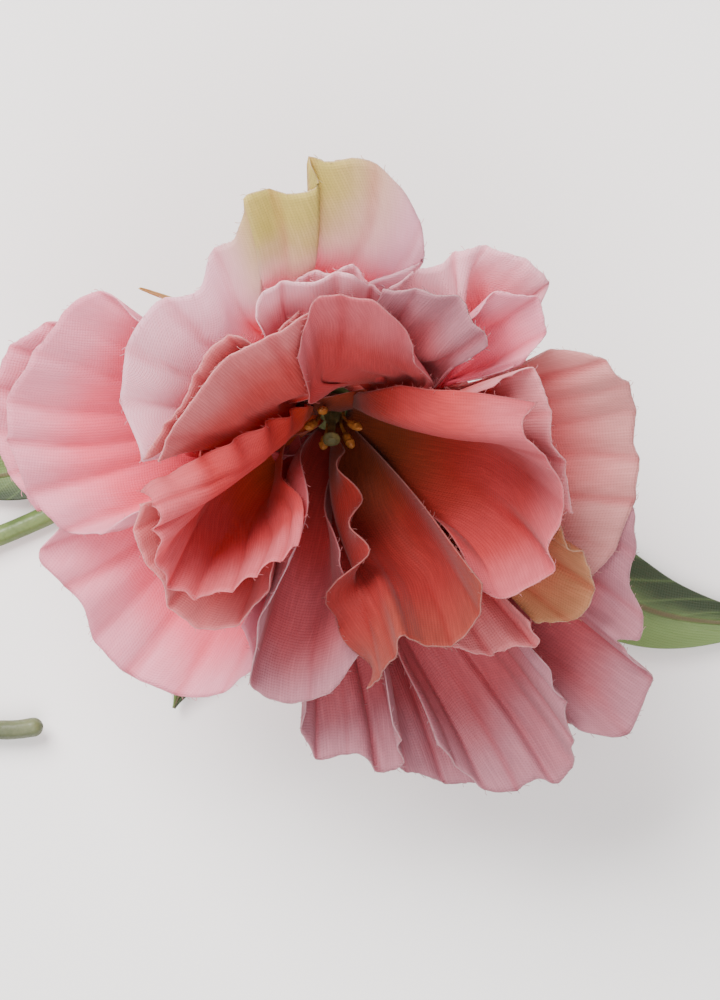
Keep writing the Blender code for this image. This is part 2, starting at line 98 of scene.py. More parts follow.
# %% [markdown]
# ## The petals' plan
# A stamped petal is a flat blank, narrow at its foot and wide at its rim, that is curved over a hot
# iron and threaded onto the stem. So each petal here is a fan of curves that leave a small ring low on
# the axis and end on the rim. Only the rim needs points; how far the petal opens at its foot (`rise`)
# and at its rim (`lean`) are angles from the axis, given for one margin, the middle and the other.
#
# `ruffle` is how far the rim waves, in millimetres, and `folds` how many pressed folds run up it.
# The three innermost petals also have a `flare`: a band of cloth along one margin that turns outward.
# Its widths are given from the foot to the rim.

# %% The rings the petals grow from, and the petals, innermost first
RING_A = (2.3, 1.4)
RING_B = (3.8, 0.8)
RING_C = (5.3, 0.2)
RING_D = (6.8, -0.6)
EVEN = (.45, .45, .45)
EASY = (.4, .4, .4)

PETALS = [
    dict(name="petal_inner_lower_right", azimuth=297, ring=RING_A, claw=22, wrap=(60, 40),
         rise=(8, 40, 34), lean=(36, 14, 30), foot=(.5, .6, .6), head=(.35, .5, .4),
         finish="garnet", ruffle=0.4, folds=6,
         flare=dict(margin=-1, turn=8, widths=(.3, 4.4, 5.4, 5.0, 3.8), ripple=34, waves=4.6),
         rim=[(285, 26, 37), (294, 22, 40), (299, 20, 40), (305, 24, 39), (313, 26, 38),
              (324, 25, 38), (333, 23, 38)]),
    dict(name="petal_inner_right", azimuth=350, ring=RING_A, claw=22, wrap=(50, 62),
         rise=(34, 44, 24), lean=(30, 14, 56), foot=(.6, .6, .42), head=(.4, .5, .35),
         finish="crimson", ruffle=0.5, folds=5,
         flare=dict(margin=1, turn=100, widths=(.3, 5.0, 8.0, 8.0, 6.5), ripple=8, waves=2.4),
         rim=[(318, 20, 35), (325, 24, 36), (333, 28, 37), (344, 31, 38), (350, 30, 38),
              (358, 31, 38), (10, 31, 39), (18, 30, 40), (25, 29, 41)]),
    dict(name="petal_inner_low", azimuth=256, ring=RING_B, claw=18, wrap=(80, 30),
         rise=(22, 44, 22), lean=(60, 50, 60), foot=(.5, .5, .5), head=EASY,
         finish="dusty", ruffle=0.8, folds=5,
         rim=[(235, 10, 35), (243, 21, 33), (249, 31, 30), (256, 34, 29), (264, 33, 29),
              (271, 30, 31), (277, 21, 34)]),
    dict(name="petal_inner_left", press=1.3, azimuth=216, ring=RING_A, claw=22, wrap=(76, 36),
         rise=(22, 46, 30), lean=(56, 14, 40), foot=(.42, .6, .6), head=(.35, .5, .4),
         finish="ember", ruffle=0.7, folds=9,
         flare=dict(margin=-1, turn=95, widths=(.3, 5.5, 7.0, 6.5, 5.5), ripple=14, waves=7.0),
         rim=[(179, 23, 40), (191, 24, 40), (204, 24, 39), (215, 22, 38),
              (219, 17, 38), (223, 11, 38), (232, 7, 37)]),
    dict(name="petal_inner_top", azimuth=80, ring=RING_A, claw=22, wrap=(45, 45),
         rise=(14, 12, 14), lean=(60, 50, 60), foot=EVEN, head=EASY,
         finish="crimson", ruffle=0.5, folds=4,
         rim=[(60, 23, 33), (65, 26, 35), (78, 31, 38), (85, 31, 38), (93, 31, 38), (97, 26, 36),
              (102, 21, 33)]),
    dict(name="petal_inner_upper_left", azimuth=142, ring=RING_A, claw=22, wrap=(55, 55),
         rise=(10, 20, 46), lean=(60, 50, 30), foot=EVEN, head=EASY,
         finish="scarlet", ruffle=0.5, folds=4,
         rim=[(92, 28, 34), (99, 27, 36), (110, 26, 37), (121, 26, 37), (130, 25, 37),
              (146, 24, 36), (165, 24, 35)]),
    dict(name="petal_middle_upper_left", azimuth=146, ring=RING_B, claw=12, wrap=(45, 45),
         rise=(14, 26, 24), lean=(70, 64, 80), foot=EVEN, head=EASY,
         finish="scarlet", ruffle=0.5, folds=4,
         rim=[(99, 27, 31), (111, 24, 34), (117, 27, 35), (125, 28, 35), (133, 26, 35),
              (147, 24, 34), (169, 25, 33)]),
    dict(name="petal_middle_left", azimuth=226, ring=RING_B, claw=17, wrap=(44, 36),
         rise=(30, 46, 44), lean=(60, 34, 50), foot=EVEN, head=EASY,
         finish="scarlet", ruffle=0.7, folds=6,
         rim=[(181, 26, 34), (193, 27, 35), (206, 26, 35), (221, 27, 34), (233, 25, 33),
              (240, 19, 33), (241, 14, 32)]),
    dict(name="petal_middle_low_right", azimuth=306, ring=RING_B, claw=12, wrap=(30, 28),
         rise=(24, 40, 24), lean=(60, 50, 60), foot=EVEN, head=EASY,
         finish="scarlet", ruffle=0.5, folds=3,
         rim=[(306, 27, 31), (308, 31, 31), (312, 33, 31), (318, 35, 31), (321, 37, 30),
              (324, 34, 30)]),
    dict(name="petal_middle_lower_right", azimuth=334, ring=RING_B, claw=12, wrap=(32, 40),
         rise=(24, 40, 24), lean=(60, 60, 60), foot=EVEN, head=EASY,
         finish="tan", ruffle=0.6, folds=4,
         rim=[(322, 35, 29), (327, 38, 29), (332, 40, 30), (338, 39, 30), (345, 36, 31),
              (347, 33, 32), (353, 29, 32)]),
    dict(name="petal_middle_right", azimuth=4, ring=RING_B, claw=12, wrap=(42, 42),
         rise=(20, 34, 20), lean=(60, 50, 60), foot=EVEN, head=EASY,
         finish="coral", ruffle=0.6, folds=4,
         rim=[(355, 32, 32), (11, 31, 34), (23, 32, 34), (30, 33, 34), (35, 33, 34), (38, 31, 34),
              (36, 27, 32)]),
    dict(name="petal_middle_top", azimuth=64, ring=RING_B, claw=12, wrap=(40, 40),
         rise=(14, 20, 14), lean=(60, 60, 60), foot=EVEN, head=EASY,
         finish="dusty", ruffle=0.6, folds=4,
         rim=[(46, 27, 31), (47, 31, 33), (53, 32, 34), (60, 34, 34), (67, 33, 34), (73, 32, 34),
              (77, 31, 33)]),
    dict(name="petal_middle_top_right", azimuth=34, ring=RING_B, claw=12, wrap=(38, 38),
         rise=(20, 26, 16), lean=(70, 60, 60), foot=EVEN, head=EASY,
         finish="lilac", ruffle=0.6, folds=4,
         rim=[(35, 29, 29), (36, 33, 30), (38, 36, 30), (41, 38, 30), (45, 39, 30), (50, 38, 31),
              (53, 36, 31), (53, 32, 31)]),
    dict(name="petal_middle_top_left", azimuth=104, ring=RING_B, claw=12, wrap=(42, 42),
         rise=(14, 22, 14), lean=(60, 62, 60), foot=EVEN, head=EASY,
         finish="rose", ruffle=0.6, folds=4,
         rim=[(75, 28, 31), (81, 30, 33), (85, 33, 34), (93, 32, 34), (101, 32, 34), (107, 31, 33),
              (110, 28, 33), (112, 24, 32)]),
    dict(name="petal_middle_top_back", azimuth=86, ring=RING_C, claw=10, wrap=(30, 30),
         rise=(20, 26, 20), lean=(66, 66, 66), foot=EVEN, head=EASY,
         finish="rose", ruffle=0.5, folds=3,
         rim=[(75, 28, 28), (81, 31, 30), (85, 33, 31), (89, 32, 31), (93, 32, 31), (98, 31, 31),
              (104, 28, 30)]),
    dict(name="petal_outer_low", azimuth=262, ring=RING_C, claw=10, wrap=(20, 30),
         rise=(56, 60, 56), lean=(60, 60, 60), foot=EVEN, head=EASY,
         finish="dusty", ruffle=0.9, folds=5,
         rim=[(263, 33, 27), (265, 41, 25), (269, 45, 24), (274, 44, 24), (279, 48, 23),
              (282, 47, 24), (284, 38, 28)]),
    dict(name="petal_outer_low_right", azimuth=294, ring=RING_C, claw=11, wrap=(36, 36),
         rise=(50, 56, 50), lean=(66, 66, 66), foot=EVEN, head=EASY,
         finish="dusty", ruffle=0.9, folds=6,
         rim=[(290, 44, 26), (293, 53, 24), (296, 56, 24), (302, 56, 25), (304, 58, 25),
              (308, 56, 26), (312, 50, 28), (318, 41, 29)]),
    dict(name="petal_outer_right", azimuth=2, ring=RING_C, claw=11, wrap=(42, 42),
         rise=(50, 56, 50), lean=(80, 84, 80), foot=EVEN, head=EASY,
         finish="beige", ruffle=1.0, folds=6,
         rim=[(334, 39.5, 23), (340, 41, 23), (349, 42, 23), (358, 42.5, 23), (6, 42, 23), (13, 42.7, 24),
              (19, 42.5, 25), (26, 40.5, 26), (30, 37.5, 26), (32, 34.5, 26), (35, 30.5, 27)]),
    dict(name="petal_outer_lower_right", azimuth=326, ring=RING_C, claw=11, wrap=(38, 38),
         rise=(54, 60, 54), lean=(66, 66, 66), foot=EVEN, head=EASY,
         finish="dusty", ruffle=0.9, folds=5,
         rim=[(312, 47, 26), (311, 52, 25), (313, 55.5, 25), (316, 58, 25), (320, 57, 25), (324, 55.5, 25),
              (326, 54, 25), (327, 49.5, 26), (328, 47, 26), (330, 50, 26), (334, 48, 26.5),
              (338, 44.5, 27), (346, 43.5, 26), (352, 42, 25), (353, 39, 24)]),
    dict(name="petal_outer_top_right", azimuth=50, ring=RING_C, claw=11, wrap=(38, 38),
         rise=(42, 48, 42), lean=(76, 76, 76), foot=EVEN, head=EASY,
         finish="rose", ruffle=0.9, folds=5,
         rim=[(38, 33, 24), (41, 38, 24), (45, 41, 25), (51, 41, 26), (60, 39, 26), (65, 35, 26),
              (70, 32, 26), (75, 28, 26)]),
    dict(name="petal_outer_top", azimuth=122, ring=RING_C, claw=15, wrap=(60, 60),
         rise=(38, 44, 42), lean=(76, 82, 80), foot=EVEN, head=EASY,
         finish="olive_tipped", ruffle=1.1, folds=8,
         rim=[(80, 29, 27), (73, 31.5, 26), (69, 34.5, 26), (71, 38, 27), (76, 43, 29), (81, 46.5, 31),
              (86, 48, 32), (91, 47.8, 32.5), (93, 48.5, 33), (92, 44.7, 33), (97, 44, 34),
              (101, 45.5, 35), (104, 45.7, 36), (105, 43, 35), (109, 39, 32), (115, 37.5, 30),
              (122, 33.5, 29), (134, 35, 28), (145, 33.5, 28), (156, 31, 28), (171, 26, 30)]),
    dict(name="petal_outer_left", azimuth=174, ring=RING_C, claw=11, wrap=(42, 42),
         rise=(50, 56, 50), lean=(80, 84, 80), foot=EVEN, head=EASY,
         finish="lilac", ruffle=1.2, folds=7,
         rim=[(139, 33, 26), (138, 38, 24), (143, 42, 23), (151, 43, 22), (165, 45, 21),
              (174, 45, 21), (187, 42, 21), (194, 39, 22), (197, 34, 23), (190, 27, 26)]),
    dict(name="petal_outer_lower_left", azimuth=226, ring=RING_C, claw=11, wrap=(42, 42),
         rise=(50, 56, 50), lean=(80, 84, 80), foot=EVEN, head=EASY,
         finish="lilac", ruffle=1.0, folds=6,
         rim=[(194, 39, 20), (201, 44, 19), (211, 42, 19), (223, 45, 18), (234, 44, 19),
              (243, 41, 21), (248, 36, 23), (249, 31, 25), (239, 25, 27)]),
    dict(name="petal_back_left", azimuth=176, ring=RING_D, claw=12, wrap=(30, 30),
         rise=(62, 68, 62), lean=(88, 90, 88), foot=EVEN, head=EASY,
         finish="lilac", ruffle=0.8, folds=5,
         rim=[(148, 39, 18), (154, 44, 18), (161, 47, 17), (170, 48, 16), (178, 47, 16),
              (185, 45, 17), (192, 42, 18)]),
    dict(name="petal_back_low", azimuth=280, ring=RING_D, claw=12, wrap=(30, 30),
         rise=(62, 66, 62), lean=(70, 70, 70), foot=EVEN, head=EASY,
         finish="dusty", ruffle=0.8, folds=4,
         rim=[(279, 43, 22), (281, 49, 20), (286, 52, 20), (289, 54, 20), (293, 54, 21),
              (299, 50, 22)]),
    dict(name="petal_back_lower_right", azimuth=314, ring=RING_D, claw=12, wrap=(28, 28),
         rise=(66, 70, 66), lean=(70, 70, 70), foot=EVEN, head=EASY,
         finish="coral", ruffle=0.6, folds=3,
         rim=[(309, 48, 20), (309, 53, 19), (311, 55, 19), (315, 54, 20), (320, 50, 21)]),
]
print(len(PETALS), "petals planned")

# %% [markdown]
# ## One petal as a grid
# The fan of curves is easiest to hold as a grid: rows run from the foot to the rim, columns from one
# margin to the other. Each column is a cubic Bezier curve, whose two inner handles are set by `rise`
# and `lean`. A grid also gives the cloth's warp and weft for free, since its rows and columns are the
# directions the threads run in.

# %% Curves through points, and the petal grid
def curve_through(knots, at):
    """Smooth curve through the knots, read at positions from -1 to 1 along its length."""
    k = np.asarray(knots, float)
    t = np.concatenate([[0.0], np.cumsum(np.linalg.norm(np.diff(k, axis=0), axis=1) ** 0.8)])
    t = 2 * t / t[-1] - 1
    m = np.empty_like(k)
    m[1:-1] = (k[2:] - k[:-2]) / (t[2:] - t[:-2])[:, None]
    m[0] = (k[1] - k[0]) / (t[1] - t[0])
    m[-1] = (k[-1] - k[-2]) / (t[-1] - t[-2])
    i = np.clip(np.searchsorted(t, at, side="right") - 1, 0, len(t) - 2)
    h = (t[i + 1] - t[i])[:, None]
    s = (at - t[i])[:, None] / h
    ends = (1 + 2 * s) * (1 - s) ** 2 * k[i] + s * s * (3 - 2 * s) * k[i + 1]
    return ends + s * (1 - s) ** 2 * h * m[i] + s * s * (s - 1) * h * m[i + 1]


def across(values, u):
    """Spread the values given for one margin, the middle and the other over the petal's width."""
    left, middle, right = values
    return middle + np.where(u < 0, left - middle, right - middle) * np.abs(u) ** 2.5


def directions(azimuth, opening):
    flat = np.sin(opening)
    return np.stack([flat * np.cos(azimuth), flat * np.sin(azimuth), np.cos(opening)], -1)


def petal_grid(petal, rows, cols):
    """Points over one petal, in millimetres in the flower's frame."""
    u = np.linspace(-1, 1, cols + 1)
    rim = curve_through([polar(*knot) for knot in petal["rim"]], u)
    foot = np.array([polar(petal["azimuth"] + petal["claw"] * x, *petal["ring"]) for x in u])
    reach = np.linalg.norm(rim - foot, axis=1)
    low, high = petal["wrap"]
    turned = np.radians(petal["azimuth"] + np.where(u < 0, u * low, u * high))
    start = directions(turned, np.radians(across(petal["rise"], u)))
    end = directions(np.arctan2(rim[:, 1], rim[:, 0]), np.radians(across(petal["lean"], u)))
    first = foot + start * (reach * across(petal["foot"], u))[:, None]
    second = rim - end * (reach * across(petal["head"], u))[:, None]
    v = np.linspace(0, 1, rows + 1)[:, None, None]
    return ((1 - v) ** 3 * foot + 3 * (1 - v) ** 2 * v * first
            + 3 * (1 - v) * v * v * second + v ** 3 * rim)


def unit(vectors):
    return vectors / np.maximum(np.linalg.norm(vectors, axis=-1, keepdims=True), 1e-9)


def grid_normals(grid):
    """Unit vectors that point away from the inside of the flower."""
    return unit(np.cross(np.gradient(grid, axis=1), np.gradient(grid, axis=0)))


def with_flare(grid, flare, steps):
    """Add the band of cloth that turns outward along one margin, as more columns beyond it."""
    if flare is None:
        return grid
    last, before = (0, 1) if flare["margin"] < 0 else (-1, -2)
    edge = grid[:, last]
    upward = unit(np.gradient(edge, axis=0))
    ahead = edge - grid[:, before]
    ahead = unit(ahead - upward * np.sum(ahead * upward, axis=-1, keepdims=True))
    outward = grid_normals(grid)[:, last]
    v = np.linspace(0, 1, len(edge))
    width = np.interp(v, np.linspace(0, 1, len(flare["widths"])), flare["widths"])[:, None]
    swing = flare["ripple"] * np.sin(math.tau * flare["waves"] * v)[:, None]
    columns = [edge]
    for step in range(1, steps + 1):
        share = step / steps
        angle = np.radians(flare["turn"] * min(1.0, 1.7 * share) + swing * share)
        columns.append(columns[-1] + width / steps * (np.cos(angle) * ahead + np.sin(angle) * outward))
    band = np.stack(columns[1:], axis=1)
    if flare["margin"] < 0:
        return np.concatenate([band[:, ::-1], grid], axis=1)
    return np.concatenate([grid, band], axis=1)


# %% [markdown]
# ## Laying one petal outside another
# Each petal on a real bloom is pushed outward by those already on the stem.
# A cloth simulation would do this too, but it would also lose the outlines that make the bloom look
# like itself. So a plain relaxation is used. A coarse grid of each petal looks for the nearest point
# of the petals inside it, and where it is on the wrong side, or too close, it moves off along that
# petal's outward direction. Only the movement is kept, and it is added smoothly to the fine grid. The
# lay is a coarse one: many fine petals still cross a neighbour, and ruffles and folds add a few more.

# %% Lay the petals, innermost first
COARSE = 8
GAP = 1.0
SIDEWAYS = 0.9
DEEPEST = 4.5
FARTHEST_MOVE = 8.0
PASSES = 30
SETTLED = 0.04
ROWS_AT_THE_FOOT = 2


def linear_reader(cells, times):
    """Matrix that turns a line of points into one with `times` as many cells."""
    t = np.linspace(0, cells, cells * times + 1)
    i = np.minimum(t.astype(int), cells - 1)
    matrix = np.zeros((len(t), cells + 1))
    matrix[np.arange(len(t)), i] = 1 - (t - i)
    matrix[np.arange(len(t)), i + 1] = t - i
    return matrix


def smooth_reader(cells, count):
    """Matrix that reads a smooth curve through a line of points at count + 1 even places."""
    t = np.linspace(0, cells, count + 1)
    i = np.minimum(t.astype(int), cells - 1)
    s = t - i
    weights = ((2 * s * s - s - s ** 3) / 2, (2 - 5 * s * s + 3 * s ** 3) / 2,
               (s + 4 * s * s - 3 * s ** 3) / 2, (s ** 3 - s * s) / 2)
    matrix = np.zeros((count + 1, cells + 1))
    for step, weight in zip((-1, 0, 1, 2), weights):
        np.add.at(matrix, (np.arange(count + 1), np.clip(i + step, 0, cells)), weight)
    return matrix


def spread(grid, matrix):
    return np.einsum("ab,bcx,dc->adx", matrix, grid, matrix)


def pushes(dense, tree, placed, normals):
    """How far each point has to move to clear the petals already placed."""
    push = np.zeros_like(dense)
    for row, col in np.ndindex(dense.shape[:2]):
        _, index, distance = tree.find(dense[row, col])
        if row < ROWS_AT_THE_FOOT or distance > DEEPEST + GAP:
            continue
        away = dense[row, col] - placed[index]
        side = float(away @ normals[index])
        if np.linalg.norm(away - side * normals[index]) < SIDEWAYS and -DEEPEST < side < GAP:
            push[row, col] = (GAP - side) * normals[index]
    return push


def lay_outside(petal, placed, normals, matrix):
    """How far each point of the coarse grid moves for the petal to clear those inside it."""
    tree = KDTree(len(placed))
    for index, point in enumerate(placed):
        tree.insert(point, index)
    tree.balance()
    start = petal_grid(petal, COARSE, COARSE)
    moved = np.zeros_like(start)
    for _ in range(PASSES):
        push = pushes(spread(start + moved, matrix), tree, placed, normals)
        size = np.linalg.norm(push, axis=-1)
        if size.max() < SETTLED:
            break
        total = np.einsum("ab,acx,cd->bdx", matrix, push * size[..., None], matrix)
        weight = np.einsum("ab,ac,cd->bd", matrix, size, matrix)[..., None] + 1e-9
        count = np.einsum("ab,ac,cd->bd", matrix, (size > 0) * 1.0, matrix)[..., None]
        move = total / weight * np.minimum(1.0, count / 1.5)
        move[0] = 0
        moved += move
        length = np.linalg.norm(moved, axis=-1, keepdims=True)
        moved *= np.minimum(1.0, FARTHEST_MOVE / np.maximum(length, 1e-9))
    return moved


def lay_petals():
    """For every petal, how its coarse grid moves to lie outside the petals before it."""
    matrix = linear_reader(COARSE, 4)
    placed, normals, moves = np.zeros((0, 3)), np.zeros((0, 3)), {}
    for petal in PETALS:
        moved = np.zeros((COARSE + 1, COARSE + 1, 3))
        if len(placed):
            moved = lay_outside(petal, placed, normals, matrix)
        moves[petal["name"]] = moved
        dense = petal_grid(petal, 8 * COARSE, 8 * COARSE) + spread(moved, linear_reader(COARSE, 8))
        dense = with_flare(dense, petal.get("flare"), 8)
        placed = np.concatenate([placed, dense.reshape(-1, 3)])
        normals = np.concatenate([normals, grid_normals(dense).reshape(-1, 3)])
    return moves


moves = lay_petals()
for name, moved in moves.items():
    print(f"{name}: moved at most {np.linalg.norm(moved, axis=-1).max():.1f} mm")

# %% [markdown]
# ## A tidy way to write node trees
# Every tree below, for shapes and for finishes, is built with the same few helpers: one adds a node
# and wires its inputs, one does arithmetic on sockets, and one makes a tree with named inputs.

# %% Helpers for node trees
def add(tree, kind, wires=(), **settings):
    """Add a node, set its properties, then set or link its inputs by number or by name."""
    node = tree.nodes.new(kind)
    for name, value in settings.items():
        setattr(node, name, value)
    for socket, value in dict(wires).items():
        put(tree, node.inputs[socket], value)
    return node


def put(tree, socket, value):
    if isinstance(value, bpy.types.NodeSocket):
        tree.links.new(value, socket)
    else:
        socket.default_value = value


def maths(tree, operation, *values):
    return add(tree, "ShaderNodeMath", dict(enumerate(values)), operation=operation).outputs[0]


def ramp(tree, value, low, high, to_low=0.0, to_high=1.0):
    """Ease a value from one range into another, flat outside it."""
    node = add(tree, "ShaderNodeMapRange",
               {"Value": value, "From Min": low, "From Max": high, "To Min": to_low, "To Max": to_high},
               interpolation_type="SMOOTHSTEP")
    return node.outputs["Result"]


def shape_tree(name, inputs):
    """A Geometry Nodes tree with a shape in, a shape out, and named inputs for its sizes."""
    tree = bpy.data.node_groups.new(name, "GeometryNodeTree")
    tree.interface.new_socket("Geometry", in_out="INPUT", socket_type="NodeSocketGeometry")
    for label, kind in inputs:
        tree.interface.new_socket(label, in_out="INPUT", socket_type="NodeSocket" + kind)
    tree.interface.new_socket("Geometry", in_out="OUTPUT", socket_type="NodeSocketGeometry")
    return tree, add(tree, "NodeGroupInput").outputs


def end_tree(tree, shape, material):
    """Make copies real and give them their finish, so that the result is one plain mesh."""
    real = add(tree, "GeometryNodeRealizeInstances", {"Geometry": shape}).outputs[0]
    done = add(tree, "GeometryNodeSetMaterial", {"Geometry": real, "Material": material}).outputs[0]
    add(tree, "NodeGroupOutput", {"Geometry": done})


def attribute(tree, name, kind="FLOAT"):
    return add(tree, "GeometryNodeInputNamedAttribute", {"Name": name}, data_type=kind).outputs[0]


def grown(source, tree, name, **sizes):
    """Run a tree on an object and keep the result as a plain mesh in a new object."""
    modifier = source.modifiers.new(tree.name, "NODES")
    modifier.node_group = tree
    for item in tree.interface.items_tree:
        if item.in_out == "INPUT" and item.name in sizes:
            modifier[item.identifier] = sizes[item.name]
    source.update_tag()
    evaluated = source.evaluated_get(bpy.context.evaluated_depsgraph_get())
    mesh = bpy.data.meshes.new_from_object(evaluated)
    source.modifiers.remove(modifier)
    mesh.name = name
    piece = bpy.data.objects.new(name, mesh)
    bpy.context.scene.collection.objects.link(piece)
    return piece


# %% [markdown]
# ## Woven cloth
# The petals are thin dyed cloth with a plain weave. From near by it shows three things: a fine
# check of threads crossing, whose hollows between threads are darkened as painted shade, colour
# airbrushed on from a dark throat through coral to a pale lilac rim, where the throat's darkness is
# partly dye and partly painted shade deep in the bloom, and a cut edge where loose thread ends catch
# the light, painted pale as partly paler thread and partly a painted highlight. Light also passes
# through, so a little translucency is mixed in. Two attributes drive the colour: `along`, from foot
# to rim, and `edge`, the distance from the nearest cut edge in millimetres. A third holds how deep the
# pressed folds are, and the colour is darkened there as painted shade in the folds. The weave follows
# a UV map whose units are millimetres of cloth.

# %% The petal cloth
THREAD = 0.42
WARP_AND_WEFT = "weave"


def dye(red, green, blue):
    """A colour from a dyer's chart, 0 to 255 as seen, as the linear value a shader takes."""
    def linear(value):
        value /= 255
        return value / 12.92 if value <= 0.04045 else ((value + 0.055) / 1.055) ** 2.4
    return (linear(red), linear(green), linear(blue), 1.0)


def new_finish(name):
    material = bpy.data.materials.new(name)
    material.use_nodes = True
    tree = material.node_tree
    shader = tree.nodes["Principled BSDF"]
    return material, tree, shader, tree.nodes["Material Output"]


def blend(tree, amount, first, second, mode="MIX"):
    node = add(tree, "ShaderNodeMix", data_type="RGBA", blend_type=mode)
    put(tree, node.inputs[0], amount)
    put(tree, node.inputs[6], first)
    put(tree, node.inputs[7], second)
    return node.outputs[2]


def named(tree, name):
    return add(tree, "ShaderNodeAttribute", attribute_name=name).outputs["Fac"]


def noise(tree, place, scale, detail):
    return add(tree, "ShaderNodeTexNoise",
               {"Vector": place, "Scale": scale, "Detail": detail}).outputs["Fac"]


def weave_height(tree, threads):
    """A plain weave: warp and weft threads that take turns to be on top."""
    split = add(tree, "ShaderNodeSeparateXYZ", {0: threads})
    turns = math.tau / THREAD / 2
    warp = maths(tree, "SINE", maths(tree, "MULTIPLY", split.outputs[0], turns))
    weft = maths(tree, "SINE", maths(tree, "MULTIPLY", split.outputs[1], turns))
    crossing = maths(tree, "MULTIPLY", warp, weft)
    rows = maths(tree, "ABSOLUTE", warp)
    cols = maths(tree, "ABSOLUTE", weft)
    lifted = maths(tree, "MULTIPLY_ADD", crossing, 0.5, 0.5)
    over = maths(tree, "MULTIPLY", rows, lifted)
    under = maths(tree, "MULTIPLY", cols, maths(tree, "SUBTRACT", 1.0, lifted))
    return maths(tree, "ADD", over, under)


def tinged(tree, colour, along, tinge):
    """Airbrush one more colour over part of the rim: the dye, and where it sits across the petal."""
    dyed, centre, reach = tinge
    off = maths(tree, "ABSOLUTE", maths(tree, "SUBTRACT", named(tree, "side"), centre))
    near = ramp(tree, off, 0.3 * reach, reach, 1.0, 0.0)
    there = maths(tree, "MULTIPLY", near, ramp(tree, along, 0.66, 0.93))
    return blend(tree, there, colour, dyed)


def petal_cloth(name, throat, low, middle, rim, glow, tinge=None, fade=(0.72, 1.0)):
    """Dyed cloth: colours from the foot to the rim, a weave, painted shade in the folds and between threads,
    pale cut edges that are partly a painted highlight, and a little glow.
    """
    material, tree, shader, output = new_finish(name)
    threads = add(tree, "ShaderNodeUVMap", uv_map=WARP_AND_WEFT).outputs[0]
    along = named(tree, "along")
    edge = named(tree, "edge")
    place = add(tree, "ShaderNodeTexCoord").outputs["Object"]
    brushed = maths(tree, "ADD", along, maths(tree, "MULTIPLY_ADD", noise(tree, place, 90, 3), 0.24, -0.12))
    # The dark throat colour is partly dye and partly painted shade deep in the bloom.
    colour = blend(tree, ramp(tree, brushed, 0.10, 0.40), throat, low)
    colour = blend(tree, ramp(tree, brushed, 0.34, 0.66), colour, middle)
    colour = blend(tree, ramp(tree, brushed, *fade), colour, rim)
    if tinge:
        colour = tinged(tree, colour, brushed, tinge)
    # Painted shade: the colour is darkened in the pressed folds, by how deep each fold is.
    fold_shade = ramp(tree, named(tree, "painted_fold_shade"), 0.05, 0.5, 0.0, 0.55)
    colour = blend(tree, fold_shade, colour, (0.80, 0.42, 0.46, 1), "MULTIPLY")
    stretched = add(tree, "ShaderNodeMapping", {"Vector": threads, "Scale": (2.4, 0.25, 1)}).outputs[0]
    slubs = noise(tree, stretched, 1.0, 3)
    colour = blend(tree, ramp(tree, slubs, 0.35, 0.75, 0.0, 0.3), colour, (1, 0.86, 0.86, 1), "SOFT_LIGHT")
    height = weave_height(tree, threads)
    # Painted shade: the colour is darkened where the weave is low, in the hollows between threads.
    colour = blend(tree, ramp(tree, height, 0.0, 0.7, 0.26, 0.0), colour, (0.35, 0.12, 0.12, 1), "MULTIPLY")
    # The cut edge is painted pale: partly paler loose thread, partly a painted highlight where thread ends
    # catch the light.
    pale_edge_and_highlight = ramp(tree, maths(tree, "ADD", edge, maths(tree, "MULTIPLY", slubs, 0.3)), 0.08, 0.36, 0.3, 0.0)
    colour = blend(tree, pale_edge_and_highlight, colour, blend(tree, 0.5, rim, (0.86, 0.74, 0.72, 1)))
    bump = add(tree, "ShaderNodeBump", {"Height": height, "Strength": 0.5, "Distance": 0.00012})
    put(tree, shader.inputs["Base Color"], colour)
    put(tree, shader.inputs["Normal"], bump.outputs[0])
    shader.inputs["Roughness"].default_value = 0.62
    shader.inputs["Specular IOR Level"].default_value = 0.25
    shader.inputs["Sheen Weight"].default_value = 0.12
    shader.inputs["Sheen Roughness"].default_value = 0.45
    shader.inputs["Sheen Tint"].default_value = (1.0, 0.8, 0.82, 1.0)
    through = add(tree, "ShaderNodeBsdfTranslucent", {"Color": colour, "Normal": bump.outputs[0]})
    mixed = add(tree, "ShaderNodeMixShader", {0: glow, 1: shader.outputs[0], 2: through.outputs[0]})
    tree.links.new(mixed.outputs[0], output.inputs["Surface"])
    return material


# %% [markdown]
# ## The dyer's chart
# Eleven dye jobs cover all the petals. Each row holds the throat, the lower part, the middle and the
# rim; the dark throat colours are partly dye and partly painted shade deep in the bloom. The inner
# petals glow more, since light comes through them from the petals behind. The tallest outer petal has
# an olive tip over a lilac-white rim.

# %% Mix the dyes
DYES = {
    "lilac": ((160, 54, 58), (238, 88, 106), (246, 104, 128), (236, 150, 170)),
    "rose": ((160, 50, 52), (236, 96, 110), (254, 138, 156), (246, 182, 196)),
    "olive_tipped": ((170, 54, 56), (246, 100, 112), (255, 142, 160), (248, 196, 212)),
    "beige": ((140, 40, 34), (206, 84, 84), (222, 122, 124), (210, 142, 140)),
    "dusty": ((132, 32, 28), (178, 54, 56), (180, 82, 90), (176, 118, 130)),
    "coral": ((126, 30, 18), (204, 62, 54), (220, 94, 94), (222, 140, 148)),
    "scarlet": ((130, 32, 18), (184, 46, 42), (198, 70, 68), (210, 118, 122)),
    "tan": ((126, 30, 18), (176, 50, 44), (180, 78, 58), (180, 124, 86)),
    "crimson": ((118, 48, 22), (160, 44, 36), (188, 62, 64), (204, 100, 110)),
    "ember": ((200, 84, 40), (222, 74, 64), (228, 92, 96), (226, 126, 136)),
    "garnet": ((118, 48, 24), (140, 36, 30), (154, 44, 42), (150, 66, 56)),
}
GLOW = {"olive_tipped": 0.4, "crimson": 0.34, "ember": 0.6, "garnet": 0.38}
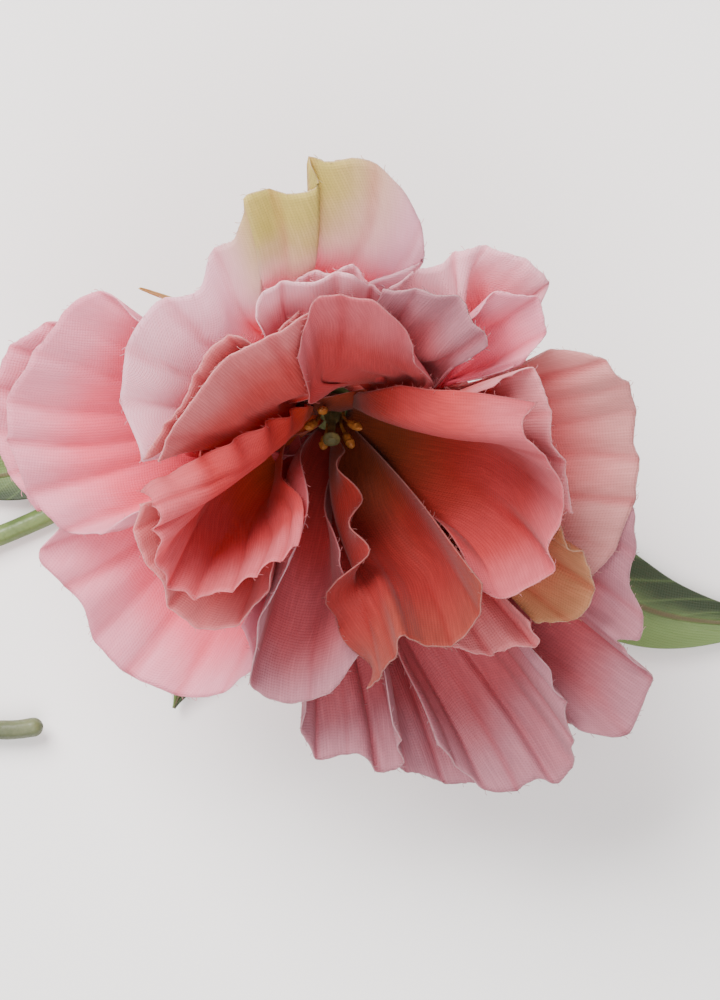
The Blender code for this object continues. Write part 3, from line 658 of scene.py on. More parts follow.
OLIVE_TIP = dict(tinge=(dye(206, 188, 104), -0.16, 0.52), fade=(0.6, 0.8))

FINISHES = {}
for finish, dyes in DYES.items():
    extra = OLIVE_TIP if finish == "olive_tipped" else {}
    FINISHES[finish] = petal_cloth("cloth_" + finish, *(dye(*side_shade_and_patches) for side_shade_and_patches in dyes),
                                   glow=GLOW.get(finish, 0.25), **extra)
print("cloth finishes:", ", ".join(FINISHES))

# %% [markdown]
# ## Ruffling the rims
# A heated ball tool gives each petal a waved rim and a few sharp folds that fan out from the foot.
# That is a rule, so a Geometry Nodes tree does it: noise that is stretched along the petal waves the
# rim more than the foot, a ping-pong wave makes the folds, and a third noise nibbles the outline. The
# sizes are inputs, so that each petal can have its own.

# %% The ruffling tree
def noise_4d(tree, place, seed, scale):
    node = add(tree, "ShaderNodeTexNoise", {"Vector": place, "W": seed, "Scale": scale, "Detail": 1.5},
               noise_dimensions="4D")
    return maths(tree, "MULTIPLY_ADD", node.outputs[0], 2.0, -1.0)


def ruffling_tree():
    tree, size = shape_tree("ruffled_petal", [("Ruffle", "Float"), ("Waves", "Float"), ("Folds", "Float"),
                                              ("Fold height", "Float"), ("Nibble", "Float"),
                                              ("Seed", "Float"), ("Cloth", "Material")])
    along, side = attribute(tree, "along"), attribute(tree, "side")
    stretched = add(tree, "ShaderNodeCombineXYZ", {0: maths(tree, "MULTIPLY", side, size["Waves"]),
                                                   1: maths(tree, "MULTIPLY", along, 1.6)}).outputs[0]
    wave = noise_4d(tree, stretched, size["Seed"], 1.0)
    near_rim = maths(tree, "POWER", along, 2.6)
    ruffle = maths(tree, "MULTIPLY", maths(tree, "MULTIPLY", wave, near_rim), size["Ruffle"])
    shifted = maths(tree, "MULTIPLY_ADD", wave, 0.12, side)
    ridge = maths(tree, "PINGPONG", maths(tree, "MULTIPLY_ADD", shifted, size["Folds"], size["Seed"]), 1.0)
    ridge = maths(tree, "SUBTRACT", maths(tree, "POWER", ridge, 1.8), 0.36)
    slot = add(tree, "ShaderNodeCombineXYZ", {0: maths(tree, "MULTIPLY", side, 3.1)}).outputs[0]
    uneven = ramp(tree, noise_4d(tree, slot, maths(tree, "ADD", size["Seed"], 7.0), 1.0), -0.4, 0.4)
    uneven = maths(tree, "MULTIPLY_ADD", uneven, 0.7, 0.3)
    faded = maths(tree, "MULTIPLY", ramp(tree, along, 0.3, 0.9), uneven)
    fold = maths(tree, "MULTIPLY", maths(tree, "MULTIPLY", ridge, faded), size["Fold height"])
    normal = add(tree, "GeometryNodeInputNormal").outputs[0]
    lift = add(tree, "ShaderNodeVectorMath", {0: normal, "Scale": maths(tree, "SUBTRACT", ruffle, fold)},
               operation="SCALE").outputs[0]
    fine = add(tree, "ShaderNodeCombineXYZ", {0: maths(tree, "MULTIPLY", side, 9.0)}).outputs[0]
    bite = maths(tree, "MULTIPLY", noise_4d(tree, fine, maths(tree, "ADD", size["Seed"], 3.0), 1.0),
                 maths(tree, "MULTIPLY", maths(tree, "POWER", along, 8.0), size["Nibble"]))
    outward = attribute(tree, "outward", "FLOAT_VECTOR")
    bite = maths(tree, "MULTIPLY_ADD", fold, 0.6, bite)
    creep = add(tree, "ShaderNodeVectorMath", {0: outward, "Scale": bite}, operation="SCALE").outputs[0]
    offset = add(tree, "ShaderNodeVectorMath", {0: lift, 1: creep}).outputs[0]
    moved = add(tree, "GeometryNodeSetPosition", {"Geometry": size["Geometry"], "Offset": offset})
    # Keep how deep each fold is; the cloth darkens the folds by it as painted shade.
    kept = add(tree, "GeometryNodeStoreNamedAttribute", {"Geometry": moved.outputs[0], "Name": "painted_fold_shade",
                                                         "Value": maths(tree, "MULTIPLY", ridge, faded)})
    end_tree(tree, kept.outputs[0], size["Cloth"])
    return tree


RUFFLED = ruffling_tree()
print("ruffling tree:", len(RUFFLED.nodes), "nodes")

# %% [markdown]
# ## Blanks, then petals
# The blank is the smooth grid with the attributes that the tree and the cloth read. After ruffling it
# gets its thickness from a Solidify modifier, which is applied at once.

# %% Cut the blanks
ROWS, COLS, FLARE_COLS = 56, 80, 14
CLOTH_THICKNESS = 0.18


def edge_distance(grid):
    """Distance in millimetres from each grid point to the nearest cut edge, measured in the cloth."""
    down = np.concatenate([np.zeros((1, grid.shape[1])),
                           np.cumsum(np.linalg.norm(np.diff(grid, axis=0), axis=-1), axis=0)])
    over = np.concatenate([np.zeros((grid.shape[0], 1)),
                           np.cumsum(np.linalg.norm(np.diff(grid, axis=1), axis=-1), axis=1)], axis=1)
    return np.minimum(np.minimum(over, over[:, -1:] - over), down[-1:] - down), over, down


def petal_blank(petal):
    """A single-layer mesh of one petal with its attributes, and the size the blank was cut to."""
    grid = petal_grid(petal, ROWS, COLS)
    moved = np.einsum("ab,bcx,dc->adx", smooth_reader(COARSE, ROWS), moves[petal["name"]],
                      smooth_reader(COARSE, COLS))
    flare = petal.get("flare")
    grid = with_flare(grid + moved, flare, FLARE_COLS)
    edge, over, down = edge_distance(grid)
    mesh = bpy.data.meshes.new(petal["name"])
    wide = grid.shape[1]
    corners = [(r * wide + c, (r + 1) * wide + c, (r + 1) * wide + c + 1, r * wide + c + 1)
               for r in range(ROWS) for c in range(wide - 1)]
    mesh.from_pydata(set_down(grid).reshape(-1, 3), [], corners)
    first = -FLARE_COLS if flare and flare["margin"] < 0 else 0
    side = np.broadcast_to((first + np.arange(wide)) * 2 / COLS - 1, edge.shape)
    along = np.broadcast_to(np.linspace(0, 1, ROWS + 1)[:, None], edge.shape)
    outward = set_down(np.gradient(grid, axis=0)) - set_down(np.zeros(3))
    outward /= np.maximum(np.linalg.norm(outward, axis=-1, keepdims=True), 1e-9)
    for name, values in (("edge", edge), ("side", side), ("along", along)):
        mesh.attributes.new(name, "FLOAT", "POINT").data.foreach_set("value", values.ravel())
    mesh.attributes.new("outward", "FLOAT_VECTOR", "POINT").data.foreach_set("vector", outward.ravel())
    threads = np.stack([over - over[:, -1:] / 2, down], -1).reshape(-1, 2)
    layer = mesh.uv_layers.new(name=WARP_AND_WEFT)
    layer.data.foreach_set("uv", threads[np.array(corners).ravel()].ravel())
    area = sum(face.area for face in mesh.polygons)
    cut = (over[:, -1].max() * MM, np.median(down[-1]) * MM)
    return mesh, cut, area


def shown(name, mesh):
    piece = bpy.data.objects.new(name, mesh)
    bpy.context.scene.collection.objects.link(piece)
    return piece


def thickened(piece, thickness):
    """Give a single layer its thickness, and keep the result as its own mesh."""
    solid = piece.modifiers.new("thickness", "SOLIDIFY")
    solid.thickness = thickness * MM
    solid.offset = 0
    mesh = bpy.data.meshes.new_from_object(piece.evaluated_get(bpy.context.evaluated_depsgraph_get()))
    piece.modifiers.clear()
    piece.data = mesh
    mesh.shade_smooth()
    return piece


def finished(piece, node):
    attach(piece, "root")
    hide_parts(node)
    return piece


# %% [markdown]
# ## Loose threads on the cut edges
# Woven cloth that is stamped out frays: short ends of thread stand out along the cut. They repeat
# along a path, so a Geometry Nodes tree places them. It turns the open edge of the single-layer petal
# into a curve, spaces points along it, and puts a short bent thread on each, turned at random.

# %% The fraying tree
def fraying_tree():
    tree, size = shape_tree("frayed_edge", [("Spacing", "Float"), ("Thread length", "Float"),
                                            ("Thread radius", "Float"), ("Seed", "Int"),
                                            ("Cloth", "Material")])
    faces_here = add(tree, "GeometryNodeInputMeshEdgeNeighbors").outputs[0]
    cut = add(tree, "FunctionNodeCompare", {2: faces_here, 3: 1}, data_type="INT",
              operation="EQUAL").outputs[0]
    high = add(tree, "FunctionNodeCompare", {0: attribute(tree, "along"), 1: 0.4}, operation="GREATER_THAN")
    chosen = add(tree, "FunctionNodeBooleanMath", {0: cut, 1: high.outputs[0]}, operation="AND").outputs[0]
    rim = add(tree, "GeometryNodeMeshToCurve", {"Mesh": size["Geometry"], "Selection": chosen}).outputs[0]
    points = add(tree, "GeometryNodeCurveToPoints", {"Curve": rim, "Length": size["Spacing"]},
                 mode="LENGTH")
    seed = size["Seed"]
    tall = add(tree, "FunctionNodeRandomValue", {2: 0.35, 3: 1.0, "Seed": seed}).outputs[1]
    twist = add(tree, "FunctionNodeRandomValue", {0: (-1.1, -1.1, -3.1), 1: (1.1, 1.1, 3.1), "Seed": seed},
                data_type="FLOAT_VECTOR").outputs[0]
    half = maths(tree, "MULTIPLY", size["Thread length"], 0.5)
    bend = add(tree, "ShaderNodeCombineXYZ", {0: maths(tree, "MULTIPLY", half, 0.5), 2: half}).outputs[0]
    tip = add(tree, "ShaderNodeCombineXYZ", {2: size["Thread length"]}).outputs[0]
    thread = add(tree, "GeometryNodeCurveQuadraticBezier",
                 {"Resolution": 4, "Start": (0, 0, 0), "Middle": bend, "End": tip}).outputs[0]
    ring = add(tree, "GeometryNodeCurvePrimitiveCircle",
               {"Resolution": 3, "Radius": size["Thread radius"]}).outputs[0]
    fibre = add(tree, "GeometryNodeCurveToMesh",
                {"Curve": thread, "Profile Curve": ring, "Fill Caps": True}).outputs[0]
    placed = add(tree, "GeometryNodeInstanceOnPoints",
                 {"Points": points.outputs["Points"], "Instance": fibre,
                  "Rotation": points.outputs["Rotation"], "Scale": tall})
    turned = add(tree, "GeometryNodeRotateInstances", {"Instances": placed.outputs[0], "Rotation": twist})
    end_tree(tree, turned.outputs[0], size["Cloth"])
    return tree


FRAYED = fraying_tree()
print("fraying tree:", len(FRAYED.nodes), "nodes")


# %% [markdown]
# ## From blank to petal
# Every petal goes through the same steps, so one function does them. The blank is ruffled and
# creased, its cut edge gets threads while it is still one layer, and then it gets its thickness.
# Outer petals are pressed harder and with more folds than inner ones. A petal may also have its own
# `press`, the height of its folds in millimetres. The size that each blank was cut to is printed,
# with its area.

# %% Press, ruffle and hang every petal
NIBBLE = 0.5
RUFFLE_GAIN = 1.6
THREAD_SPACING, THREAD_LENGTH, THREAD_RADIUS = 0.8, 0.9, 0.05
FOLD_HEIGHT = {"inner": 0.5, "middle": 0.75, "outer": 1.1, "back": 0.9}
FOLD_COUNT = {"inner": 0.8, "middle": 1.0, "outer": 1.3, "back": 1.2}


def joined(piece, other):
    """Add another mesh to a piece's own mesh, and drop the other object."""
    both = bmesh.new()
    both.from_mesh(piece.data)
    both.from_mesh(other.data)
    both.to_mesh(piece.data)
    both.free()
    bpy.data.objects.remove(other)
    return piece


def make_petal(number, petal):
    whorl = petal["name"].split("_")[1]
    mesh, cut, area = petal_blank(petal)
    blank = shown("blank", mesh)
    cloth = FINISHES[petal["finish"]]
    pressed = petal.get("press", FOLD_HEIGHT[whorl]) * MM
    piece = grown(blank, RUFFLED, petal["name"] + "_cloth", Ruffle=petal["ruffle"] * RUFFLE_GAIN * MM,
                  Waves=1.2 + 0.25 * petal["folds"], Folds=FOLD_COUNT[whorl] * petal["folds"],
                  Nibble=NIBBLE * MM, Seed=1.7 * number, Cloth=cloth, **{"Fold height": pressed})
    bpy.data.objects.remove(blank)
    threads = grown(piece, FRAYED, petal["name"] + "_threads", Spacing=THREAD_SPACING * MM, Seed=number,
                    Cloth=cloth, **{"Thread length": THREAD_LENGTH * MM,
                                    "Thread radius": THREAD_RADIUS * MM})
    joined(thickened(piece, CLOTH_THICKNESS), threads)
    finished(piece, petal["name"])
    return petal["name"], cut, area


for number, petal in enumerate(PETALS):
    name, cut, area = make_petal(number, petal)
    print(f"{name}: cut {cut[0] * 1000:.0f} x {cut[1] * 1000:.0f} mm, {area * 1e6:.0f} mm2")

# %% [markdown]
# ## Rods: stem, shoot, stamens, sepals and style
# The stem is a wire inside moulded plastic, and the stamens, sepals and style are moulded too. Each
# is a path with a thickness, so one Geometry Nodes tree grows them all: it sweeps a circle along a
# path whose points carry a `thick` attribute, presses fine ribs along the rod, and grains the skin.
# Ribs come from the angle around the rod, so they follow it wherever it bends.

# %% The rod tree
def rod_tree():
    tree, size = shape_tree("ribbed_rod", [("Sides", "Int"), ("Ribs", "Float"), ("Rib depth", "Float"),
                                           ("Grain", "Float"), ("Grain depth", "Float"),
                                           ("Moulded", "Material")])
    path = add(tree, "GeometryNodeMeshToCurve", {"Mesh": size["Geometry"]}).outputs[0]
    line = add(tree, "GeometryNodeSplineParameter").outputs[0]
    path = add(tree, "GeometryNodeCaptureAttribute", {"Geometry": path})
    path.capture_items.new("FLOAT", "down")
    put(tree, path.inputs[1], line)
    ring = add(tree, "GeometryNodeCurvePrimitiveCircle",
               {"Resolution": size["Sides"], "Radius": 1.0}).outputs[0]
    around = add(tree, "GeometryNodeCaptureAttribute", {"Geometry": ring})
    around.capture_items.new("FLOAT", "around")
    put(tree, around.inputs[1], add(tree, "GeometryNodeSplineParameter").outputs[0])
    swept = add(tree, "GeometryNodeCurveToMesh",
                {"Curve": path.outputs[0], "Profile Curve": around.outputs[0],
                 "Scale": attribute(tree, "thick"), "Fill Caps": True}).outputs[0]
    turn = maths(tree, "MULTIPLY", maths(tree, "MULTIPLY", around.outputs[1], math.tau), size["Ribs"])
    rib = maths(tree, "MULTIPLY", maths(tree, "COSINE", turn), size["Rib depth"])
    grain = add(tree, "ShaderNodeTexNoise", {"Scale": size["Grain"], "Detail": 2.0}).outputs[0]
    grain = maths(tree, "MULTIPLY", maths(tree, "SUBTRACT", grain, 0.5), size["Grain depth"])
    coarse = attribute(tree, "coarse")
    lift = maths(tree, "MULTIPLY_ADD", grain, coarse, rib)
    normal = add(tree, "GeometryNodeInputNormal").outputs[0]
    offset = add(tree, "ShaderNodeVectorMath", {0: normal, "Scale": lift}, operation="SCALE").outputs[0]
    pressed = add(tree, "GeometryNodeSetPosition", {"Geometry": swept, "Offset": offset}).outputs[0]
    kept = add(tree, "GeometryNodeStoreNamedAttribute", {"Geometry": pressed, "Name": "down",
                                                         "Value": path.outputs[1]}).outputs[0]
    smooth = add(tree, "GeometryNodeSetShadeSmooth", {"Geometry": kept}).outputs[0]
    end_tree(tree, smooth, size["Moulded"])
    return tree


ROD = rod_tree()


def path_mesh(name, points, thick, coarse):
    """A line of points in metres with a thickness and a graininess at each one."""
    mesh = bpy.data.meshes.new(name)
    mesh.from_pydata(points, [(i, i + 1) for i in range(len(points) - 1)], [])
    for label, values in (("thick", np.asarray(thick) * MM), ("coarse", coarse)):
        mesh.attributes.new(label, "FLOAT", "POINT").data.foreach_set("value", np.asarray(values, float))
    return shown("path", mesh)


def rod(name, points, thick, finish, coarse=None, **sizes):
    coarse = np.ones(len(points)) if coarse is None else coarse
    source = path_mesh(name, points, thick, coarse)
    asked = {"Sides": 24, "Ribs": 0.0, "Rib depth": 0.0, "Grain": 900.0, "Grain depth": 0.0,
             "Moulded": finish}
    asked.update(sizes)
    piece = grown(source, ROD, name + "_moulded", **asked)
    bpy.data.objects.remove(source)
    return piece


print("rod tree:", len(ROD.nodes), "nodes")

# %% [markdown]
# ## Finishes of the moulded parts
# The moulded plastic is a dull olive green, darker and browner where dye gathered, with a soft gloss.
# The ovary is a dark olive, partly its own colour and partly painted shade for the deep throat it sits
# in, the anthers are a grainy ochre, and the sepals are dried yellow-brown at their tips. Every finish
# mixes two or three colours by noise, so that none of them looks flat.

# %% Moulded finishes
def moulded(name, dark, light, gloss=0.45, tip=None, scale=160, grain=0.00015):
    material, tree, shader, _ = new_finish(name)
    place = add(tree, "ShaderNodeTexCoord").outputs["Object"]
    patches = noise(tree, place, scale, 4)
    speckle = noise(tree, place, scale * 12, 2)
    colour = blend(tree, ramp(tree, patches, 0.35, 0.65), dark, light)
    colour = blend(tree, ramp(tree, speckle, 0.5, 0.8, 0.0, 0.35), colour, dark)
    if tip:
        down = maths(tree, "ADD", named(tree, "down"), maths(tree, "MULTIPLY_ADD", patches, 0.3, -0.15))
        colour = blend(tree, ramp(tree, down, 0.35, 0.9), colour, tip)
    put(tree, shader.inputs["Base Color"], colour)
    put(tree, shader.inputs["Roughness"], ramp(tree, speckle, 0.2, 0.8, gloss - 0.1, gloss + 0.15))
    bump = add(tree, "ShaderNodeBump", {"Height": speckle, "Strength": 0.4, "Distance": grain})
    put(tree, shader.inputs["Normal"], bump.outputs[0])
    return material


STEM_SKIN = moulded("stem_skin", dye(58, 78, 34), dye(92, 112, 54), 0.48)
SHOOT_SKIN = moulded("shoot_skin", dye(66, 74, 46), dye(98, 104, 68), 0.5)
SEPAL_SKIN = moulded("sepal_skin", dye(126, 128, 62), dye(160, 140, 74), 0.45, dye(186, 148, 78))
# The ovary's olive is darkened as painted shade for the deep throat it sits in.
OVARY_SKIN_AND_SHADE = moulded("ovary_skin_and_painted_shade", dye(66, 62, 28), dye(98, 86, 40), 0.75, scale=500)
ANTHER_SKIN = moulded("anther_skin", dye(104, 56, 22), dye(168, 110, 44), 0.6, dye(150, 92, 34), scale=700)
CUP_SKIN = moulded("cup_skin", dye(74, 92, 40), dye(112, 124, 62), 0.45, scale=220)
SEAT_SKIN = moulded("seat_skin", dye(96, 100, 52), dye(140, 138, 84), 0.6, scale=260)
print("moulded finishes ready")

# %% [markdown]
# ## The cut stem and the side shoot
# The stem drops from the head, thins into a stalk there and then lies along the table, with three
# slightly swollen nodes on it. The bare shoot branches off near the cut and ends in a rounded tip.

# %% Stem and shoot
STEM_COURSE = [(0, 4.0, 17.0), (-0.6, 6.2, 11.6), (-4.0, 6.8, 6.4), (-11.0, 2.6, 2.9), (-22.0, -5.0, 1.6),
               (-49.0, -18.6, 1.5), (-75.0, -26.5, 1.5), (-96.0, -31.0, 1.5)]
SHOOT_COURSE = [(-77.0, -30.4, 1.6), (-73.5, -36.0, 2.0), (-67.0, -43.0, 2.4), (-58.0, -47.4, 2.6),
                (-49.0, -48.2, 2.7), (-43.6, -47.6, 2.7)]
STEM_RADIUS, STALK_RADIUS, SHOOT_RADIUS = 1.5, 1.25, 1.4
STEM_NODES, NODE_SWELL, NODE_SPREAD = (0.36, 0.62, 0.84), 0.06, 0.006
CLEAR_OF_TABLE = 0.05
STEM_STEPS, SHOOT_STEPS = 300, 200


def rounded_end(points, thick, radius, last=True):
    """Let the thickness run out in a half circle over the last stretch of a path."""
    step = np.linalg.norm(np.diff(points, axis=0), axis=1) / MM
    if last:
        left = np.concatenate([np.cumsum(step[::-1])[::-1], [0]])
    else:
        left = np.concatenate([[0], np.cumsum(step)])
    near = np.clip(1 - left / radius, 0, 1)
    return thick * np.sqrt(np.maximum(1 - near ** 2, 0.02))


def stem_path():
    course = curve_through(STEM_COURSE, np.linspace(-1, 1, STEM_STEPS))
    place = np.linspace(0, 1, STEM_STEPS)
    thick = np.interp(place, [0, 0.12, 0.3, 1], [STALK_RADIUS, STALK_RADIUS, STEM_RADIUS, STEM_RADIUS])
    for node in STEM_NODES:
        thick *= 1 + NODE_SWELL * np.exp(-((place - node) / NODE_SPREAD) ** 2)
    course[:, 2] = np.maximum(course[:, 2], thick + CLEAR_OF_TABLE)
    return on_table(course), thick


points, thick = stem_path()
stem = rod("stem", points, thick, STEM_SKIN, Ribs=7.0,
           **{"Rib depth": 0.05 * MM, "Grain depth": 0.12 * MM})
finished(stem, "stem")

points = on_table(curve_through(SHOOT_COURSE, np.linspace(-1, 1, SHOOT_STEPS)))
thick = rounded_end(points, np.full(SHOOT_STEPS, SHOOT_RADIUS), SHOOT_RADIUS)
shoot = rod("side_shoot", points, thick, SHOOT_SKIN, Ribs=6.0,
            **{"Rib depth": 0.04 * MM, "Grain depth": 0.12 * MM})
finished(shoot, "side_shoot")
print("stem and shoot grown:", len(stem.data.polygons), len(shoot.data.polygons), "faces")

# %% [markdown]
# ## The throat
# Inside the bloom sits a moulded pistil: a rounded ovary, a slim style and a small split stigma. Five
# stamens stand around it, thin filaments that swell into grainy anthers. All are paths with a
# thickness, so the rod tree makes them; only the thickness along the path differs.

# %% Pistil, stamens and sepals
OVARY_AND_STYLE = [(0.9, 1.3), (1.15, 3.0), (1.0, 5.0), (0.5, 6.6), (0.4, 9.0), (0.45, 11.3), (1.05, 12.2),
                   (1.25, 12.6), (1.0, 13.0), (0.3, 13.3)]
STAMENS = [(114, 3.8, 10.5), (12, 4.2, 11.0), (176, 3.6, 9.5), (248, 3.4, 9.0), (318, 4.0, 9.5)]
SEPALS = [(136, 139, 35, 13.5), (66, 75, 30, 15.5), (206, 206, 25, 4), (276, 276, 26, 3),
          (346, 346, 26, 4)]

knots = np.array(OVARY_AND_STYLE)
heights = np.linspace(knots[0, 1], knots[-1, 1], 120)
thick = np.interp(heights, knots[:, 1], knots[:, 0])
thick = np.convolve(np.pad(thick, 3, "edge"), np.ones(7) / 7, "valid")
points = set_down(np.stack([np.zeros(120), np.zeros(120), heights], -1))
pistil = rod("pistil", points, thick, OVARY_SKIN_AND_SHADE, coarse=np.clip((heights - 11) / 1.5, 0.2, 1),
             Ribs=2.0, **{"Rib depth": 0.09 * MM, "Grain": 1400.0, "Grain depth": 0.35 * MM})
finished(pistil, "pistil")

ANTHER = np.interp(np.linspace(0, 1, 60), [0, .55, .64, .72, .88, .96, 1], [.22, .2, .26, .58, .64, .4, .12])
GRAINY = np.clip((np.linspace(0, 1, 60) - 0.6) / 0.1, 0.05, 1)
for number, (azimuth, distance, height) in enumerate(STAMENS, 1):
    course = curve_through([polar(azimuth, 1.62, 1.3), polar(azimuth, 1.9, height * 0.55),
                            polar(azimuth, distance, height)], np.linspace(-1, 1, 60))
    stamen = rod(f"stamen_{number}", set_down(course), ANTHER, ANTHER_SKIN, coarse=GRAINY, Ribs=2.0,
                 **{"Rib depth": 0.03 * MM, "Grain": 2400.0, "Grain depth": 0.45 * MM})
    finished(stamen, f"stamen_{number}")

for number, (foot_azimuth, azimuth, distance, height) in enumerate(SEPALS, 1):
    course = curve_through([polar(foot_azimuth, 8.4, -3.4),
                            polar((foot_azimuth + azimuth) / 2, 8.4 + 0.3 * (distance - 8.4), -1.6),
                            polar(azimuth, 8.4 + 0.7 * (distance - 8.4), 0.55 * height - 1.0),
                            polar(azimuth, distance, height)], np.linspace(-1, 1, 90))
    thick = np.linspace(1.0, 0.0, 90) ** 0.7 * 0.75 + 0.12
    points = set_down(course)
    sepal = rod(f"sepal_{number}", points, rounded_end(points, thick, 0.7, False), SEPAL_SKIN,
                Ribs=3.0, **{"Rib depth": 0.08 * MM, "Grain depth": 0.12 * MM})
    finished(sepal, f"sepal_{number}")
print("pistil, stamens and sepals grown")

# %% [markdown]
# ## The seat and the cup
# The petals are threaded onto a small moulded seat, and a cup closes it from below. Both are turned
# about the flower's axis, so they start as a profile carried round it. A second tree then presses
# lobes into the wall and grains it, as the mould does.

# %% Turned pieces
RECEPTACLE = [(0.02, 0.9), (1.6, 0.9), (3.0, 0.8), (4.6, 0.1), (6.2, -0.7), (7.6, -1.7), (7.2, -3.0),
              (5.4, -4.6), (3.0, -5.6), (0.02, -5.8)]
CALYX_CUP = [(0.02, -6.1), (3.1, -5.9), (5.6, -4.9), (7.5, -3.3), (7.9, -3.4), (6.6, -5.6), (4.2, -7.6),
             (2.0, -9.2), (0.02, -9.5)]


def turned(profile, sides=96, steps=44):
    """Closed mesh of a profile carried round the flower's axis."""
    flat = np.array([(r, 0, h) for r, h in profile], float)
    fine = curve_through(flat, np.linspace(-1, 1, steps))
    fine[:, 0] = np.maximum(fine[:, 0], 0.02)
    points = [polar(360 * k / sides, r, h) for r, _, h in fine for k in range(sides)]
    faces = []
    for row in range(steps - 1):
        for k in range(sides):
            a, b = row * sides + k, row * sides + (k + 1) % sides
            faces.append((a, a + sides, b + sides, b))
    faces.append(tuple(range(sides)))
    faces.append(tuple(range((steps - 1) * sides, steps * sides))[::-1])
    mesh = bpy.data.meshes.new("turned")
    mesh.from_pydata(set_down(points), [], faces)
    turn = np.tile(np.arange(sides) / sides, steps)
    mesh.attributes.new("turn", "FLOAT", "POINT").data.foreach_set("value", turn)
    return mesh


def lobing_tree():
    tree, size = shape_tree("pressed_lobes", [("Lobes", "Float"), ("Lobe depth", "Float"),
                                              ("Grain depth", "Float"), ("Moulded", "Material")])
    turn = maths(tree, "MULTIPLY", maths(tree, "MULTIPLY", attribute(tree, "turn"), math.tau), size["Lobes"])
    lobe = maths(tree, "MULTIPLY", maths(tree, "COSINE", turn), size["Lobe depth"])
    grain = add(tree, "ShaderNodeTexNoise", {"Scale": 700.0, "Detail": 3.0}).outputs[0]
    grain = maths(tree, "MULTIPLY", maths(tree, "SUBTRACT", grain, 0.5), size["Grain depth"])
    lift = maths(tree, "ADD", lobe, grain)
    normal = add(tree, "GeometryNodeInputNormal").outputs[0]
    offset = add(tree, "ShaderNodeVectorMath", {0: normal, "Scale": lift}, operation="SCALE").outputs[0]
    pressed = add(tree, "GeometryNodeSetPosition",
                  {"Geometry": size["Geometry"], "Offset": offset}).outputs[0]
    end_tree(tree, add(tree, "GeometryNodeSetShadeSmooth", {"Geometry": pressed}).outputs[0], size["Moulded"])
    return tree


LOBED = lobing_tree()
for node, profile, skin, colour, lobes in (("receptacle", RECEPTACLE, SEAT_SKIN, "receptacle_green", 10.0),
                                           ("calyx", CALYX_CUP, CUP_SKIN, "calyx_green", 5.0)):
    source = shown("turned", turned(profile))
    piece = grown(source, LOBED, node + "_moulded", Lobes=lobes, Moulded=skin,
                  **{"Lobe depth": 0.1 * MM, "Grain depth": 0.2 * MM})
    bpy.data.objects.remove(source)
    finished(piece, node)
print("seat and cup turned")

# %% [markdown]
# ## Leaves
# The leaves are cloth too, printed green and pressed in a veined mould. A leaf is a pointed blade
# that folds up beside its midrib. Veins repeat along the midrib and sweep towards the tip, so the
# leaf tree presses them in: their place is a ping-pong wave of how far along and how far out a point
# is. The finish reads the same two attributes for the paler veins, the darker midrib, and a painted
# shade that darkens the half of the blade facing away from the lamp.

# %% The leaf tree
LEAVES = {
    "leaf_right": dict(width=17, fold=16,
                       course=[(-3, 1, 0.5), (14, -9, 0.5), (46, -29.6, 0.5), (69, -33, 2)]),
    "leaf_left": dict(width=10, fold=18,
                      course=[(-27, -2.6, 0.5), (-38, -6.2, 0.5), (-49, -9.8, 1), (-62, -11, 2)]),
    "leaf_lower_left": dict(width=18, fold=14,
                            course=[(-10.6, -1.2, 0.5), (-13, -15, 0.5), (-18, -31, 0.5), (-24, -45, 1.5)]),
}
LEAF_ROWS, LEAF_COLS, LEAF_THICKNESS, VEINS = 150, 60, 0.35, 11.0


def vein_wave(tree, along, side, veins):
    """One at a vein and nothing between veins; the veins sweep towards the tip as they go out."""
    swept = maths(tree, "MULTIPLY_ADD", maths(tree, "ABSOLUTE", side), -0.16, along)
    wave = maths(tree, "PINGPONG", maths(tree, "MULTIPLY", swept, veins * 2), 1.0)
    return maths(tree, "POWER", wave, 9.0)


def leaf_tree():
    tree, size = shape_tree("veined_leaf", [("Vein depth", "Float"), ("Midrib depth", "Float"),
                                            ("Ripple", "Float"), ("Cloth", "Material")])
    along, side = attribute(tree, "along"), attribute(tree, "side")
    out = maths(tree, "ABSOLUTE", side)
    fading = ramp(tree, out, 0.5, 1.0, 1.0, 0.0)
    vein = maths(tree, "MULTIPLY", vein_wave(tree, along, side, VEINS), fading)
    midrib = ramp(tree, out, 0.02, 0.12, 1.0, 0.0)
    wave = add(tree, "ShaderNodeTexNoise", {"Scale": 90.0, "Detail": 1.0}).outputs[0]
    wave = maths(tree, "MULTIPLY", maths(tree, "MULTIPLY", wave, ramp(tree, out, 0.3, 1.0)), size["Ripple"])
    lift = maths(tree, "MULTIPLY_ADD", vein, size["Vein depth"], wave)
    lift = maths(tree, "MULTIPLY_ADD", midrib, size["Midrib depth"], lift)
    offset = add(tree, "ShaderNodeCombineXYZ", {2: lift}).outputs[0]
    pressed = add(tree, "GeometryNodeSetPosition",
                  {"Geometry": size["Geometry"], "Offset": offset}).outputs[0]
    end_tree(tree, pressed, size["Cloth"])
    return tree


